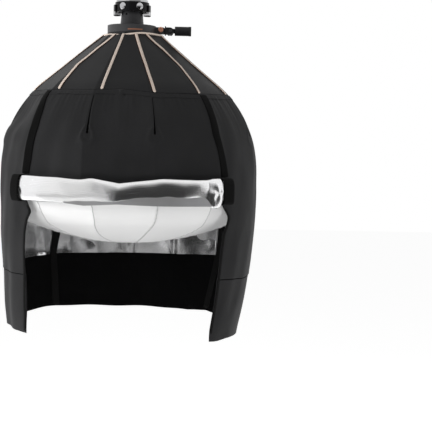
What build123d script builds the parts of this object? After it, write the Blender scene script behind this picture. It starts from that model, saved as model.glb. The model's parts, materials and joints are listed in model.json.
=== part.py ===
from build123d import *
from math import asin, cos, degrees, pi, radians, sin, sqrt
import os

os.makedirs("parts", exist_ok=True)

# Lantern softbox with a black skirt. Millimetres, +Z up, origin at the middle of
# the clamp ring on the softbox's own axis. The rolled front flap faces -Y and the
# socket for the stand arm points to +X. An azimuth is an angle about Z, from -Y
# towards +X.

# Clearances
cloth_gap = 0.3
running_gap = 0.1
pin_gap = 0.05
bevel = 0.8

# Cloth outline in side view: a cone, a shoulder arc, a short upright and a slow taper
collar_radius = 75.0
collar_height = -15.0
cone_angle = 39.3
shoulder_radius = 308.0
skirt_radius = 348.0
taper_top = -440.0
taper_radius = 2112.0
skirt_bottom = -797.0
cloth_thickness = 1.2
hem_height = -171.0
lower_seam_height = -650.0

# Twelve rods carry the cloth. The skirt's four corners lie on ribs.
rib_count = 12
first_rib = 12.0
rod_radius = 2.5
rod_bottom = -430.0
tip_radius = 3.0
tip_length = 12.0
end_sleeve_radius = 3.5
end_sleeve_length = 30.0
sleeve_bore_depth = 18.0
socket_depth = 13.0
socket_height = -17.0
corners = {"front_left": -48.0, "front_right": 42.0, "rear_right": 132.0, "rear_left": 222.0}
panel_gap = 0.06

# Bias tape over the seams, and the tapes on the skirt
collar_tape_radius = 2.6
rib_tape_width = 7.0
rib_tape_height = 2.4
tape_thickness = 1.5
hem_band_height = 12.0
corner_strip_width = 25.0
binding_width = 8.0
inner_tape_width = 30.0

# White diffuser: it follows the rods, then closes in a flattened cap
globe_equator = -438.0
globe_cap_depth = 139.0
globe_side_radius = 85.0

# Rolled front flap and its two straps
roll_height = 72.0
roll_thickness = 24.0
roll_flat = 2.0
roll_middle = -427.0
roll_start = -50.8
roll_end = 44.8
front_panel_bottom = -434.0
strap_width = 31.0
strap_thickness = 1.8
strap_places = {"left": corners["front_left"] - 0.5, "right": corners["front_right"] + 0.5}

# Hub that holds the rods, and the tube for the light
bore_radius = 24.0
hub_radius = 60.0
hub_lip_width = 4.0
hub_lip_height = 3.0
hub_flange_width = 3.0
hub_bottom = -24.0
neck_bottom_radius = 31.5
neck_top_radius = 28.5
neck_top = 47.5
neck_foot_radius = 36.0
neck_foot_height = 2.5
neck_screw_radius = 1.5
neck_screw_head_radius = 2.75
neck_screw_head_height = 3.0
neck_screw_circle = 27.8
neck_screw_reach = 10.0
neck_screw_count = 4
first_neck_screw = 27.0
set_screw_radius = 3.2
set_screw_height = 40.5
set_screw_length = 2.4
set_screw_count = 2
first_set_screw = -30.0

# Bayonet head on the neck
head_radius = 46.0
head_height = 25.5
head_floor = 5.0
head_wall = 6.0
face_ring_radius = 42.5
face_ring_height = 7.0
lug_reach = 4.5
lug_height = 18.0
lug_span = 50.0
lug_azimuths = [90.0, 270.0]
claw_height = 9.0
claw_slot_height = 4.2
claw_wall = 7.0
claw_clearance = 1.5
head_screw_radius = 9.5
head_screw_dome = 3.6
head_screw_shank_radius = 4.0
head_screw_slot = 2.2
head_screw_azimuths = [28.0, 148.0, 208.0, 328.0]

# Split ring clamp and its bracket
clamp_wall = 4.6
clamp_rounding = 1.2
ear_rounding = 1.0
ring_height = 22.0
liner_thickness = 1.2
slit_width = 1.6
ear_thickness = 11.2
ear_height = 17.0
front_ear_length = 20.0
rear_ear_length = 23.5
clamp_screw_setback = 12.0
clamp_screw_height = 2.0
clamp_screw_radius = 2.5
clamp_head_radius = 7.0
clamp_head_length = 9.0
clamp_nut_radius = 5.6
clamp_nut_height = 4.0
clamp_screw_spare = 2.0

# Tilt joint
knuckle_clearance = 2.1
bracket_thickness = 3.0
bracket_rounding = 2.0
bracket_height = 24.0
clevis_arm_thickness = 4.2
knuckle_radius = 9.0
tongue_thickness = 11.6
tongue_height = 12.0
washer_thickness = 1.0
washer_radius = 8.0
tilt_bolt_radius = 3.0
tilt_head_radius = 5.0
tilt_head_height = 3.5
knob_radius = 11.0
knob_height = 12.0
knob_boss_radius = 7.0
knob_boss_height = 4.0
knob_lobes = 6
knob_rounding = 1.5
knob_groove_radius = 3.6
knob_groove_depth = 1.5
bracket_screw_radius = 1.5
bracket_screw_head_radius = 2.8
bracket_screw_head_height = 1.6
bracket_screw_length = 10.0

# Socket for a 16 mm stand arm, with its lock screw
sleeve_radius = 12.5
sleeve_length = 44.5
sleeve_clearance = 0.9
arm_bore_radius = 8.1
arm_bore_depth = 40.0
rim_radius = 12.9
rim_seat_radius = 11.4
rim_length = 6.5
lock_screw_setback = 23.0
lock_screw_radius = 3.0
lock_head_radius = 5.5
lock_head_length = 12.0
lock_neck_length = 6.0
lock_bar_radius = 2.0
lock_bar_length = 36.0
lock_ball_radius = 2.8

# Worked out from the sizes above
cone = radians(cone_angle)
cone_normal = (sin(cone), cos(cone))
shoulder_middle_r = skirt_radius - shoulder_radius
reach_to_line = shoulder_radius + (shoulder_middle_r - collar_radius) * cone_normal[0]
shoulder_middle_z = collar_height - reach_to_line / cone_normal[1]
taper_middle_r = skirt_radius - taper_radius
rod_inset = cloth_thickness + cloth_gap + end_sleeve_radius
globe_inset = rod_inset + tip_radius + cloth_gap
globe_radius = skirt_radius - globe_inset
rib_azimuths = [first_rib + 360.0 / rib_count * index for index in range(rib_count)]
hub_lip_radius = hub_radius - hub_lip_width
hub_flange_radius = hub_radius + hub_flange_width
ring_top = ring_height / 2
ring_bottom = -ring_height / 2
liner_radius = hub_radius + running_gap
ring_bore_radius = liner_radius + liner_thickness + running_gap
ring_radius = ring_bore_radius + clamp_wall
front_ear_reach = ring_radius + front_ear_length
rear_ear_reach = ring_radius + rear_ear_length
clamp_screw_place = (ring_radius + clamp_screw_setback, clamp_screw_height)
tilt_axis_reach = rear_ear_reach + bracket_thickness + knuckle_clearance + knuckle_radius
sleeve_start = tilt_axis_reach + bracket_height / 2 + sleeve_clearance
sleeve_end = sleeve_start + sleeve_length
lock_screw_reach = sleeve_end - lock_screw_setback
ear_outside = slit_width / 2 + ear_thickness
clevis_inside = tongue_thickness / 2 + washer_thickness + running_gap
clevis_outside = clevis_inside + clevis_arm_thickness
head_bottom = neck_top
head_top = head_bottom + head_height


def at_azimuth(shape, azimuth):
    """Turn a shape that was drawn towards +X to an azimuth."""
    return Rot(0, 0, azimuth - 90) * shape


def turned(face, start=0.0, end=360.0):
    """Revolve a side-view face, drawn as radius and height, between two azimuths."""
    return at_azimuth(revolve(Plane.XZ * face, Axis.Z, end - start), start)


def ring_face(inner, outer, low, high):
    """Side-view rectangle of a plain ring."""
    return Pos((inner + outer) / 2, (low + high) / 2) * Rectangle(outer - inner, high - low)


def arc_width(width, radius):
    """Angle in degrees that a tape of this width takes at a radius."""
    return degrees(width / radius)


def along_y(radius, start, end, x, z):
    """Round bar parallel to Y between two y values."""
    return Pos(x, (start + end) / 2, z) * Rot(90, 0, 0) * Cylinder(radius, end - start)


def along_x(radius, start, end, y=0.0, z=0.0):
    """Round bar parallel to X between two x values."""
    return Pos((start + end) / 2, y, z) * Rot(0, 90, 0) * Cylinder(radius, end - start)


def cone_start(inset):
    """Top of the cone, moved inwards along its normal."""
    return (collar_radius - inset * cone_normal[0], collar_height - inset * cone_normal[1])


def shoulder_point(inset, angle):
    """Point of the shoulder arc at an angle above level."""
    radius = shoulder_radius - inset
    return (shoulder_middle_r + radius * cos(angle), shoulder_middle_z + radius * sin(angle))


def taper_point(inset, height):
    """Point of the slow taper at a height."""
    radius = taper_radius - inset
    return (taper_middle_r + sqrt(radius**2 - (taper_top - height) ** 2), height)


def cloth_curve(inset):
    """Edges of the cloth outline from collar to bottom, moved inwards by an inset."""
    tangent = pi / 2 - cone
    shoulder_top = shoulder_point(inset, tangent)
    shoulder_end = shoulder_point(inset, 0)
    upright_end = (skirt_radius - inset, taper_top)
    middle_height = (taper_top + skirt_bottom) / 2
    return [
        Line(cone_start(inset), shoulder_top),
        ThreePointArc(shoulder_top, shoulder_point(inset, tangent / 2), shoulder_end),
        Line(shoulder_end, upright_end),
        ThreePointArc(upright_end, taper_point(inset, middle_height), taper_point(inset, skirt_bottom)),
    ]


def cloth_layer(outside, inside, top, bottom):
    """Side-view face of one cloth layer between two insets and two heights."""
    outer = cloth_curve(outside)
    inner = cloth_curve(inside)
    ends = [Line(outer[0] @ 0, inner[0] @ 0), Line(outer[-1] @ 1, inner[-1] @ 1)]
    return make_face(outer + inner + ends) & ring_face(0, 2 * skirt_radius, bottom, top)


def panel(top, bottom, start, end, outside=0.0, inside=cloth_thickness):
    """Part of a cloth layer between two heights and two azimuths."""
    return turned(cloth_layer(outside, inside, top, bottom), start, end)


def around(count, first=0.0):
    """Evenly spaced azimuths."""
    return [first + 360.0 / count * index for index in range(count)]


# Cloth


def make_dome():
    return turned(cloth_layer(0, cloth_thickness, collar_height + cloth_thickness, hem_height))


def make_collar_tape():
    top = cone_start(cloth_thickness - collar_tape_radius)
    lift = collar_tape_radius + running_gap
    middle = (top[0] - lift * cos(cone), top[1] + lift * sin(cone))
    return turned(Pos(*middle) * Circle(collar_tape_radius))


def make_rib_tapes():
    raised = cloth_gap + rib_tape_height
    face = cloth_layer(-raised, -cloth_gap, collar_height - rib_tape_height, hem_height)
    tape = extrude(Plane.XZ * face, rib_tape_width / 2, both=True)
    return [at_azimuth(tape, azimuth) for azimuth in rib_azimuths]


def make_hem_band():
    top = hem_height - cloth_gap
    return panel(top, top - hem_band_height, 0, 360, -cloth_gap - tape_thickness, -cloth_gap)


def globe_arcs(inset):
    """Edges of the lower cap: a tight arc at the side that runs into a wide one below."""
    side_radius = globe_side_radius - inset
    side_middle = globe_radius - globe_side_radius
    spare = side_middle**2 + globe_cap_depth**2 - globe_side_radius**2
    wide = spare / (2 * (globe_cap_depth - globe_side_radius))
    wide_middle = globe_equator - globe_cap_depth + wide
    turn = asin(side_middle / (wide - globe_side_radius))
    wide_radius = wide - inset

    def side_point(angle):
        return (side_middle + side_radius * cos(angle), globe_equator - side_radius * sin(angle))

    def wide_point(angle):
        return (wide_radius * sin(angle), wide_middle - wide_radius * cos(angle))

    return [
        ThreePointArc(side_point(0), side_point((pi / 2 - turn) / 2), side_point(pi / 2 - turn)),
        ThreePointArc(wide_point(turn), wide_point(turn / 2), wide_point(0)),
    ]


def make_globe():
    inside = globe_inset + cloth_thickness
    upper = cloth_layer(globe_inset, inside, hem_height - cloth_gap, globe_equator)
    outer = globe_arcs(0)
    inner = globe_arcs(cloth_thickness)
    ends = [Line(outer[0] @ 0, inner[0] @ 0), Line(outer[-1] @ 1, inner[-1] @ 1)]
    return turned(upper) + turned(make_face(outer + inner + ends))


def make_roll():
    inner = skirt_radius + 2 * cloth_gap + strap_thickness
    section = Pos(inner + roll_thickness / 2, roll_middle) * RectangleRounded(
        roll_thickness, roll_height, (roll_thickness - roll_flat) / 2)
    return turned(section, roll_start, roll_end)


def make_strap(azimuth):
    inner = skirt_radius + cloth_gap
    inside = (roll_thickness + 2 * cloth_gap, roll_height + 2 * cloth_gap)
    outside = (inside[0] + 2 * strap_thickness, inside[1] + 2 * strap_thickness)
    place = Pos(inner + outside[0] / 2, roll_middle)
    loop = RectangleRounded(*outside, (outside[0] - roll_flat) / 2)
    loop -= RectangleRounded(*inside, (inside[0] - roll_flat) / 2)
    half = arc_width(strap_width, skirt_radius + roll_thickness) / 2
    return turned(place * loop, azimuth - half, azimuth + half)


def make_strip(azimuth, top, bottom, width, outside, inside):
    half = arc_width(width, skirt_radius) / 2
    return panel(top, bottom, azimuth - half, azimuth + half, outside, inside)


# Frame


def bend_point():
    """Where the level pin of a rod end meets the rod's own line."""
    start = cone_start(rod_inset)
    return (start[0] - (socket_height - start[1]) * cos(cone) / sin(cone), socket_height)


def down_the_cone(distance):
    """Point on the rod's line, a distance past the bend."""
    bend = bend_point()
    return (bend[0] + distance * cos(cone), bend[1] - distance * sin(cone))


def bar_between(start, end, radius):
    """Round bar between two points of the side view."""
    path = Plane.XZ * Line(start, end)
    return sweep(Plane(path @ 0, z_dir=path % 0) * Circle(radius), path)


def make_rod():
    tangent = pi / 2 - cone
    start = down_the_cone(end_sleeve_length - sleeve_bore_depth)
    shoulder_top = shoulder_point(rod_inset, tangent)
    shoulder_end = shoulder_point(rod_inset, 0)
    path = Plane.XZ * (
        Line(start, shoulder_top)
        + ThreePointArc(shoulder_top, shoulder_point(rod_inset, tangent / 2), shoulder_end)
        + Line(shoulder_end, (skirt_radius - rod_inset, rod_bottom))
    )
    return sweep(Plane(path @ 0, z_dir=path % 0) * Circle(rod_radius), path)


def make_rod_end():
    bend = bend_point()
    pin = bar_between((hub_flange_radius - socket_depth, socket_height), bend, end_sleeve_radius)
    elbow = Pos(bend[0], 0, bend[1]) * Sphere(end_sleeve_radius)
    sleeve = bar_between(bend, down_the_cone(end_sleeve_length), end_sleeve_radius)
    bore_start = down_the_cone(end_sleeve_length - sleeve_bore_depth)
    bore = bar_between(bore_start, down_the_cone(end_sleeve_length + 1), rod_radius + pin_gap)
    return pin + elbow + sleeve - bore


def make_rod_tip():
    radius = skirt_radius - rod_inset
    cap = Pos(radius, 0, rod_bottom) * Cylinder(tip_radius, tip_length)
    cap += Pos(radius, 0, rod_bottom - tip_length / 2) * Sphere(tip_radius)
    return cap - Pos(radius, 0, rod_bottom + tip_length / 2) * Cylinder(rod_radius + pin_gap, tip_length)


def make_hub():
    profile = Polyline(
        (bore_radius, hub_bottom),
        (hub_flange_radius, hub_bottom),
        (hub_flange_radius, ring_bottom - cloth_gap),
        (hub_radius, ring_bottom - cloth_gap),
        (hub_radius, ring_top - hub_lip_height),
        (hub_lip_radius, ring_top - hub_lip_height),
        (hub_lip_radius, ring_top),
        (bore_radius, ring_top),
        close=True,
    )
    hub = turned(make_face(profile))
    socket = along_x(end_sleeve_radius + running_gap, hub_flange_radius - socket_depth, hub_flange_radius + 1,
                     z=socket_height)
    hub -= [at_azimuth(socket, azimuth) for azimuth in rib_azimuths]
    return hub - [neck_screw(azimuth, running_gap) for azimuth in around(neck_screw_count, first_neck_screw)]


def neck_screw(azimuth, gap=0.0):
    """Long screw from below the hub into the neck, or its hole with a gap."""
    length = ring_top + neck_screw_reach + gap - hub_bottom
    shank = Pos(0, 0, hub_bottom + length / 2) * Cylinder(neck_screw_radius + gap, length)
    head_height = neck_screw_head_height + gap
    head = Pos(0, 0, hub_bottom + head_height / 2) * Cylinder(neck_screw_head_radius + gap, head_height)
    return at_azimuth(Pos(neck_screw_circle, 0, 0) * (shank + head), azimuth)


def make_neck():
    profile = Polyline(
        (bore_radius, ring_top),
        (neck_foot_radius, ring_top),
        (neck_foot_radius, ring_top + neck_foot_height),
        (neck_bottom_radius, ring_top + 2 * neck_foot_height),
        (neck_top_radius, neck_top),
        (bore_radius, neck_top),
        close=True,
    )
    neck = turned(make_face(profile))
    hole = along_x(set_screw_radius + pin_gap, bore_radius, neck_bottom_radius, z=set_screw_height)
    neck -= [at_azimuth(hole, azimuth) for azimuth in around(set_screw_count, first_set_screw)]
    return neck - [neck_screw(azimuth, running_gap) for azimuth in around(neck_screw_count, first_neck_screw)]


def make_set_screws():
    start = bore_radius + running_gap
    screw = along_x(set_screw_radius, start, start + set_screw_length, z=set_screw_height)
    return [at_azimuth(screw, azimuth) for azimuth in around(set_screw_count, first_set_screw)]


def lug_ends(azimuth):
    """Azimuths at which a lug of the head, and the claw below it, start and end."""
    return azimuth - lug_span / 2, azimuth + lug_span / 2


def make_head():
    floor = ring_face(bore_radius, head_radius, head_bottom, head_bottom + head_floor)
    wall = ring_face(head_radius - head_wall, head_radius, head_bottom + head_floor, head_top)
    head = turned(floor + wall)
    lug = ring_face(head_radius - head_wall / 2, head_radius + lug_reach, head_bottom,
                    head_bottom + lug_height)
    head += [turned(lug, *lug_ends(azimuth)) for azimuth in lug_azimuths]
    hole = head_screw(0, running_gap)
    return head - [at_azimuth(hole, azimuth) for azimuth in head_screw_azimuths]


def make_face_ring():
    low = ring_face(face_ring_radius - 2 * head_wall, head_radius - head_wall - running_gap,
                    head_bottom + head_floor, head_top)
    top = ring_face(face_ring_radius - 2 * head_wall, face_ring_radius, head_top, head_top + face_ring_height)
    return turned(low + top)


def make_claws():
    """Hooks under the lugs, each with a slot that opens towards the neck."""
    outer = head_radius + lug_reach
    inner = neck_bottom_radius + claw_clearance
    wall = ring_face(outer - claw_wall, outer, head_bottom - claw_height, head_bottom)
    shelf = ring_face(inner, outer, head_bottom - claw_height, head_bottom - claw_slot_height)
    return [turned(wall + shelf, *lug_ends(azimuth)) for azimuth in lug_azimuths]


def head_screw(slot=head_screw_slot, gap=0.0):
    """Domed screw in the wall of the head, drawn towards +X."""
    middle = (head_bottom + head_top) / 2
    inside = head_radius - head_wall
    shank = along_x(head_screw_shank_radius + gap, inside, head_radius, z=middle)
    if not slot:
        return shank
    dome_radius = (head_screw_radius**2 + head_screw_dome**2) / (2 * head_screw_dome)
    crown = (head_radius + head_screw_dome, 0)
    edge = (head_radius, head_screw_radius)
    half_angle = asin(head_screw_radius / dome_radius) / 2
    between = (crown[0] - dome_radius * (1 - cos(half_angle)), dome_radius * sin(half_angle))
    foot = (head_radius, 0)
    face = make_face([Line(foot, crown), ThreePointArc(crown, between, edge), Line(edge, foot)])
    dome = Pos(0, 0, middle) * revolve(face, Axis.X)
    cut = Pos(head_radius + head_screw_dome, 0, middle) * Box(head_screw_dome, 3 * head_screw_radius, slot)
    return shank + (dome - cut)


# Clamp and bracket


def make_slit():
    middle = (rear_ear_reach + hub_lip_radius) / 2
    return Pos(middle, 0, 0) * Box(rear_ear_reach, slit_width, 2 * ring_height)


def make_liner():
    return turned(ring_face(liner_radius, liner_radius + liner_thickness, ring_bottom,
                            ring_top - hub_lip_height)) - make_slit()


def clamp_screw_hole(radius):
    return along_y(radius, -2 * ear_outside, 2 * ear_outside, *clamp_screw_place)


def make_clamp():
    band = ring_face(ring_bore_radius, ring_radius, ring_bottom, ring_top)
    lip = ring_face(hub_lip_radius + cloth_gap, ring_radius, ring_top - hub_lip_height + cloth_gap, ring_top)
    clamp = turned(band + lip)
    clamp = fillet(clamp.edges().filter_by(GeomType.CIRCLE).sort_by(SortBy.RADIUS)[-2:], clamp_rounding)
    front_length = front_ear_reach - hub_radius
    rear_length = rear_ear_reach - hub_radius
    middle = slit_width / 2 + ear_thickness / 2
    ears = Pos(hub_radius + front_length / 2, -middle, 0) * Box(front_length, ear_thickness, ear_height)
    ears += Pos(hub_radius + rear_length / 2, middle, 0) * Box(rear_length, ear_thickness, ear_height)
    ears = fillet(ears.edges().filter_by(Axis.Y), ear_rounding)
    ears -= Cylinder((ring_bore_radius + ring_radius) / 2, 2 * ring_height)
    clamp = clamp + ears - make_slit()
    clamp -= clamp_screw_hole(clamp_screw_radius + running_gap)
    return clamp - [bracket_screw(z, pin_gap) for z in bracket_screw_heights()]


def make_clamp_screw():
    x, z = clamp_screw_place
    outside = ear_outside + running_gap
    shank = along_y(clamp_screw_radius, -outside, ear_outside + clamp_nut_height + clamp_screw_spare, x, z)
    head = along_y(clamp_head_radius, -outside - clamp_head_length, -outside, x, z)
    return chamfer(head.edges().filter_by(GeomType.CIRCLE), ear_rounding) + shank


def make_clamp_nut():
    x, z = clamp_screw_place
    outline = RegularPolygon(clamp_nut_radius, 6) - Circle(clamp_screw_radius + pin_gap)
    nut = extrude(outline, clamp_nut_height)
    return Pos(x, ear_outside + clamp_nut_height, z) * Rot(90, 0, 0) * nut


def bracket_screw_heights():
    return [-ear_height / 3, ear_height / 3]


def bracket_screw(z, gap=0.0):
    """Screw from the bracket plate into the rear ear, or its hole with a gap."""
    face = rear_ear_reach + bracket_thickness
    y = slit_width / 2 + ear_thickness / 4 + bracket_screw_radius / 2
    shank = along_x(bracket_screw_radius + gap, face - bracket_screw_length - gap, face, y, z)
    head = along_x(bracket_screw_head_radius + gap, face - bracket_screw_head_height - gap, face, y, z)
    return shank + head


def make_bracket():
    plate = Pos(rear_ear_reach + bracket_thickness / 2, 0, 0) * Box(
        bracket_thickness, 2 * clevis_outside, bracket_height)
    bracket = fillet(plate.edges().filter_by(Axis.X), bracket_rounding)
    length = tilt_axis_reach - rear_ear_reach
    for side in (-1, 1):
        middle = side * (clevis_inside + clevis_outside) / 2
        bracket += Pos(rear_ear_reach + length / 2, middle, 0) * Box(
            length, clevis_arm_thickness, 2 * knuckle_radius)
        ends = sorted((side * clevis_inside, side * clevis_outside))
        bracket += along_y(knuckle_radius, *ends, tilt_axis_reach, 0)
    bracket -= along_y(tilt_bolt_radius + pin_gap, -bracket_height, bracket_height, tilt_axis_reach, 0)
    return bracket - [bracket_screw(z, pin_gap) for z in bracket_screw_heights()]


def make_washers():
    hole = along_y(tilt_bolt_radius + pin_gap, -bracket_height, bracket_height, tilt_axis_reach, 0)
    washers = []
    for side in (-1, 1):
        ends = sorted((side * (clevis_inside - washer_thickness), side * clevis_inside))
        washers.append(along_y(washer_radius, *ends, tilt_axis_reach, 0) - hole)
    return washers


def make_tilt_bolt():
    end = clevis_outside + knob_boss_height + knob_height
    shank = along_y(tilt_bolt_radius, -clevis_outside, end, tilt_axis_reach, 0)
    head = along_y(tilt_head_radius, -clevis_outside - tilt_head_height, -clevis_outside, tilt_axis_reach, 0)
    return shank + chamfer(head.edges().filter_by(GeomType.CIRCLE), bevel)


def make_knob():
    start = clevis_outside + running_gap
    grip = along_y(knob_radius, start + knob_boss_height, start + knob_boss_height + knob_height,
                   tilt_axis_reach, 0)
    grip = fillet(grip.edges().filter_by(GeomType.CIRCLE), knob_rounding)
    boss = along_y(knob_boss_radius, start, start + knob_boss_height, tilt_axis_reach, 0)
    groove_reach = knob_radius + knob_groove_radius - knob_groove_depth
    groove = along_y(knob_groove_radius, start, start + 2 * knob_height, 0, groove_reach)
    grooves = [Pos(tilt_axis_reach, 0, 0) * Rot(0, angle, 0) * groove for angle in around(knob_lobes)]
    hole = along_y(tilt_bolt_radius + pin_gap, 0, start + 2 * knob_height, tilt_axis_reach, 0)
    return grip - grooves + boss - hole


def make_sleeve():
    sleeve = along_x(sleeve_radius, sleeve_start, sleeve_end)
    tongue = along_y(knuckle_radius, -tongue_thickness / 2, tongue_thickness / 2, tilt_axis_reach, 0)
    length = sleeve_start - tilt_axis_reach + 1
    tongue += Pos(tilt_axis_reach + length / 2, 0, 0) * Box(length, tongue_thickness, tongue_height)
    sleeve += tongue
    seat = along_x(rim_radius, sleeve_end - rim_length, sleeve_end)
    sleeve -= seat - along_x(rim_seat_radius, sleeve_start, sleeve_end + 1)
    sleeve -= along_x(arm_bore_radius, sleeve_end - arm_bore_depth, sleeve_end + 1)
    sleeve -= along_y(tilt_bolt_radius + pin_gap, -knob_radius, knob_radius, tilt_axis_reach, 0)
    return sleeve - along_y(lock_screw_radius + pin_gap, 0, 2 * sleeve_radius, lock_screw_reach, 0)


def make_rim():
    rim = along_x(rim_radius, sleeve_end - rim_length + running_gap, sleeve_end)
    rim = fillet(rim.edges().filter_by(GeomType.CIRCLE), bevel / 2)
    return rim - along_x(rim_seat_radius + pin_gap, sleeve_start, sleeve_end + 1)


def lock_bar_y():
    return sleeve_radius + lock_neck_length + lock_head_length / 2


def make_lock_screw():
    start = arm_bore_radius + running_gap
    shoulder = sleeve_radius + lock_neck_length
    screw = along_y(lock_screw_radius, start, shoulder, lock_screw_reach, 0)
    head = along_y(lock_head_radius, shoulder, shoulder + lock_head_length, lock_screw_reach, 0)
    screw += chamfer(head.edges().filter_by(GeomType.CIRCLE), bevel)
    reach = lock_bar_length / 2
    return screw - along_x(lock_bar_radius + pin_gap, lock_screw_reach - reach, lock_screw_reach + reach,
                           lock_bar_y())


def make_lock_bar():
    ends = [lock_screw_reach + side * lock_bar_length / 2 for side in (-1, 1)]
    bar = along_x(lock_bar_radius, *ends, lock_bar_y())
    return bar + [Pos(x, lock_bar_y(), 0) * Sphere(lock_ball_radius) for x in ends]


# Nodes


def write(name, shapes):
    """Write one node, from one solid or a list of separate solids."""
    shapes = shapes if isinstance(shapes, list) else [shapes]
    solids = [solid for shape in shapes for solid in shape.solids()]
    export_step(Compound(children=solids) if len(solids) > 1 else solids[0], f"parts/{name}.step")


def write_cloth():
    write("dome_shell", make_dome())
    write("collar_piping", make_collar_tape())
    write("rib_piping", make_rib_tapes())
    write("skirt_hem_band", make_hem_band())
    write("globe_diffuser", make_globe())
    top = hem_height - cloth_gap
    spans = {
        "front": ("front_left", "front_right", 0),
        "right": ("front_right", "rear_right", 0),
        "back": ("rear_right", "rear_left", 0),
        "left": ("rear_left", "front_left", 360),
    }
    for side, (first, last, wrap) in spans.items():
        start = corners[first] + panel_gap
        end = corners[last] + wrap - panel_gap
        if side == "front":
            write("skirt_front", panel(top, front_panel_bottom, start, end))
            continue
        write(f"skirt_{side}", panel(top, lower_seam_height, start, end))
        write(f"skirt_band_{side}", panel(lower_seam_height - cloth_gap, skirt_bottom, start, end))
    roll_top = roll_middle + roll_height / 2
    roll_bottom = roll_middle - roll_height / 2
    strip_top = top - hem_band_height - cloth_gap
    outside = -cloth_gap - tape_thickness
    for name, azimuth in corners.items():
        front = name.startswith("front")
        bottom = roll_top + strap_thickness + 2 * cloth_gap if front else skirt_bottom
        write(f"corner_strip_{name}",
              make_strip(azimuth, strip_top, bottom, corner_strip_width, outside, -cloth_gap))
        if not front:
            inside = cloth_thickness + cloth_gap
            write(f"corner_tape_{name}", make_strip(
                azimuth, roll_bottom, skirt_bottom, inner_tape_width, inside, inside + tape_thickness))
    for side, azimuth, turn in (("left", corners["front_left"], -1), ("right", corners["front_right"], 1)):
        middle = azimuth + turn * arc_width(binding_width, skirt_radius) / 2
        write(f"window_binding_{side}",
              make_strip(middle, roll_bottom - strap_thickness - 2 * cloth_gap, skirt_bottom, binding_width,
                         outside, -cloth_gap))
        write(f"roll_strap_{side}", make_strap(strap_places[side]))
    write("front_roll", make_roll())


def write_frame():
    rod = make_rod()
    for number, azimuth in enumerate(rib_azimuths, start=1):
        write(f"rod_{number:02d}", at_azimuth(rod, azimuth))
    rod_end = make_rod_end()
    tip = make_rod_tip()
    write("rod_ends", [at_azimuth(rod_end, azimuth) for azimuth in rib_azimuths])
    write("rod_tips", [at_azimuth(tip, azimuth) for azimuth in rib_azimuths])
    write("hub_ring", make_hub())
    write("neck_tube", make_neck())
    write("neck_screws", [neck_screw(azimuth) for azimuth in around(neck_screw_count, first_neck_screw)])
    write("neck_set_screws", make_set_screws())
    write("bayonet_collar", make_head())
    write("bayonet_face_ring", make_face_ring())
    write("bayonet_claws", make_claws())
    screw = head_screw()
    write("collar_screws", [at_azimuth(screw, azimuth) for azimuth in head_screw_azimuths])


def write_bracket():
    write("ring_clamp", make_clamp())
    write("clamp_liner", make_liner())
    write("clamp_screw", make_clamp_screw())
    write("clamp_nut", make_clamp_nut())
    write("tilt_bracket", make_bracket())
    write("bracket_screws", [bracket_screw(z) for z in bracket_screw_heights()])
    write("tilt_washers", make_washers())
    write("tilt_bolt", make_tilt_bolt())
    write("tilt_knob", make_knob())
    write("arm_socket", make_sleeve())
    write("arm_socket_rim", make_rim())
    write("arm_lock_screw", make_lock_screw())
    write("arm_lock_bar", make_lock_bar())


write_cloth()
write_frame()
write_bracket()
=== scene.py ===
import json
import math
import bmesh
import bpy
import numpy as np
from mathutils import Matrix, Vector


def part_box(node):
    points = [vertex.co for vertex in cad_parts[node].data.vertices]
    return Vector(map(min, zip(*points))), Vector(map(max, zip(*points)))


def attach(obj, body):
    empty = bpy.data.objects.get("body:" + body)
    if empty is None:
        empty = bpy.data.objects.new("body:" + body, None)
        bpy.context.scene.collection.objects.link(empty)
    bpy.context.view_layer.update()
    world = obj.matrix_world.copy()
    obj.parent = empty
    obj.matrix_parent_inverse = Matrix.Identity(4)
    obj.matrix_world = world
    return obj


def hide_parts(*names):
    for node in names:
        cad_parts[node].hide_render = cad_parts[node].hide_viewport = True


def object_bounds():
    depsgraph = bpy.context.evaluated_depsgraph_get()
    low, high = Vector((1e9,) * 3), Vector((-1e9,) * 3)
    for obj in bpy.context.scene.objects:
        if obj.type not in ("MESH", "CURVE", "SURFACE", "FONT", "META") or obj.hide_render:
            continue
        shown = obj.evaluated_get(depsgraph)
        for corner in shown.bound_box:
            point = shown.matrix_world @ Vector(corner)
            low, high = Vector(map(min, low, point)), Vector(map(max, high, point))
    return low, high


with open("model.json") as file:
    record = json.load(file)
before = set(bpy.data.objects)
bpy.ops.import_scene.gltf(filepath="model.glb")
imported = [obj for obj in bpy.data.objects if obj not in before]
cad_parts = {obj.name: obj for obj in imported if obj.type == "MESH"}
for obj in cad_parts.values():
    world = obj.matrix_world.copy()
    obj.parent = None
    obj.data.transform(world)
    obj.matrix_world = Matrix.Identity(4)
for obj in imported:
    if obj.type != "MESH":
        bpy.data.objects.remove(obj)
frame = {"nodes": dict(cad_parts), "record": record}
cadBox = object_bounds()

# Metres. Azimuths are degrees about Z, from the front (-Y) towards +X, and heights are along Z.
cloth = {
    "collarRadius": 0.075,
    "collarHeight": -0.015,
    "coneAngle": 39.3,
    "shoulderRadius": 0.308,
    "skirtRadius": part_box("skirt_back")[1].y,
    "taperTop": -0.440,
    "taperRadius": 2.112,
    "hemHeight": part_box("dome_shell")[0].z,
    "bandTop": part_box("skirt_band_back")[1].z,
    "bottom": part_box("skirt_band_back")[0].z,
    "thickness": 0.0012,
    "ribCount": 12,
    "firstRib": 12.0,
}
corners = {"frontLeft": -48.0, "frontRight": 42.0, "rearRight": 132.0, "rearLeft": 222.0}
goreAngle = 360.0 / cloth["ribCount"]
ribs = [cloth["firstRib"] + goreAngle * index for index in range(cloth["ribCount"])]


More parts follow.
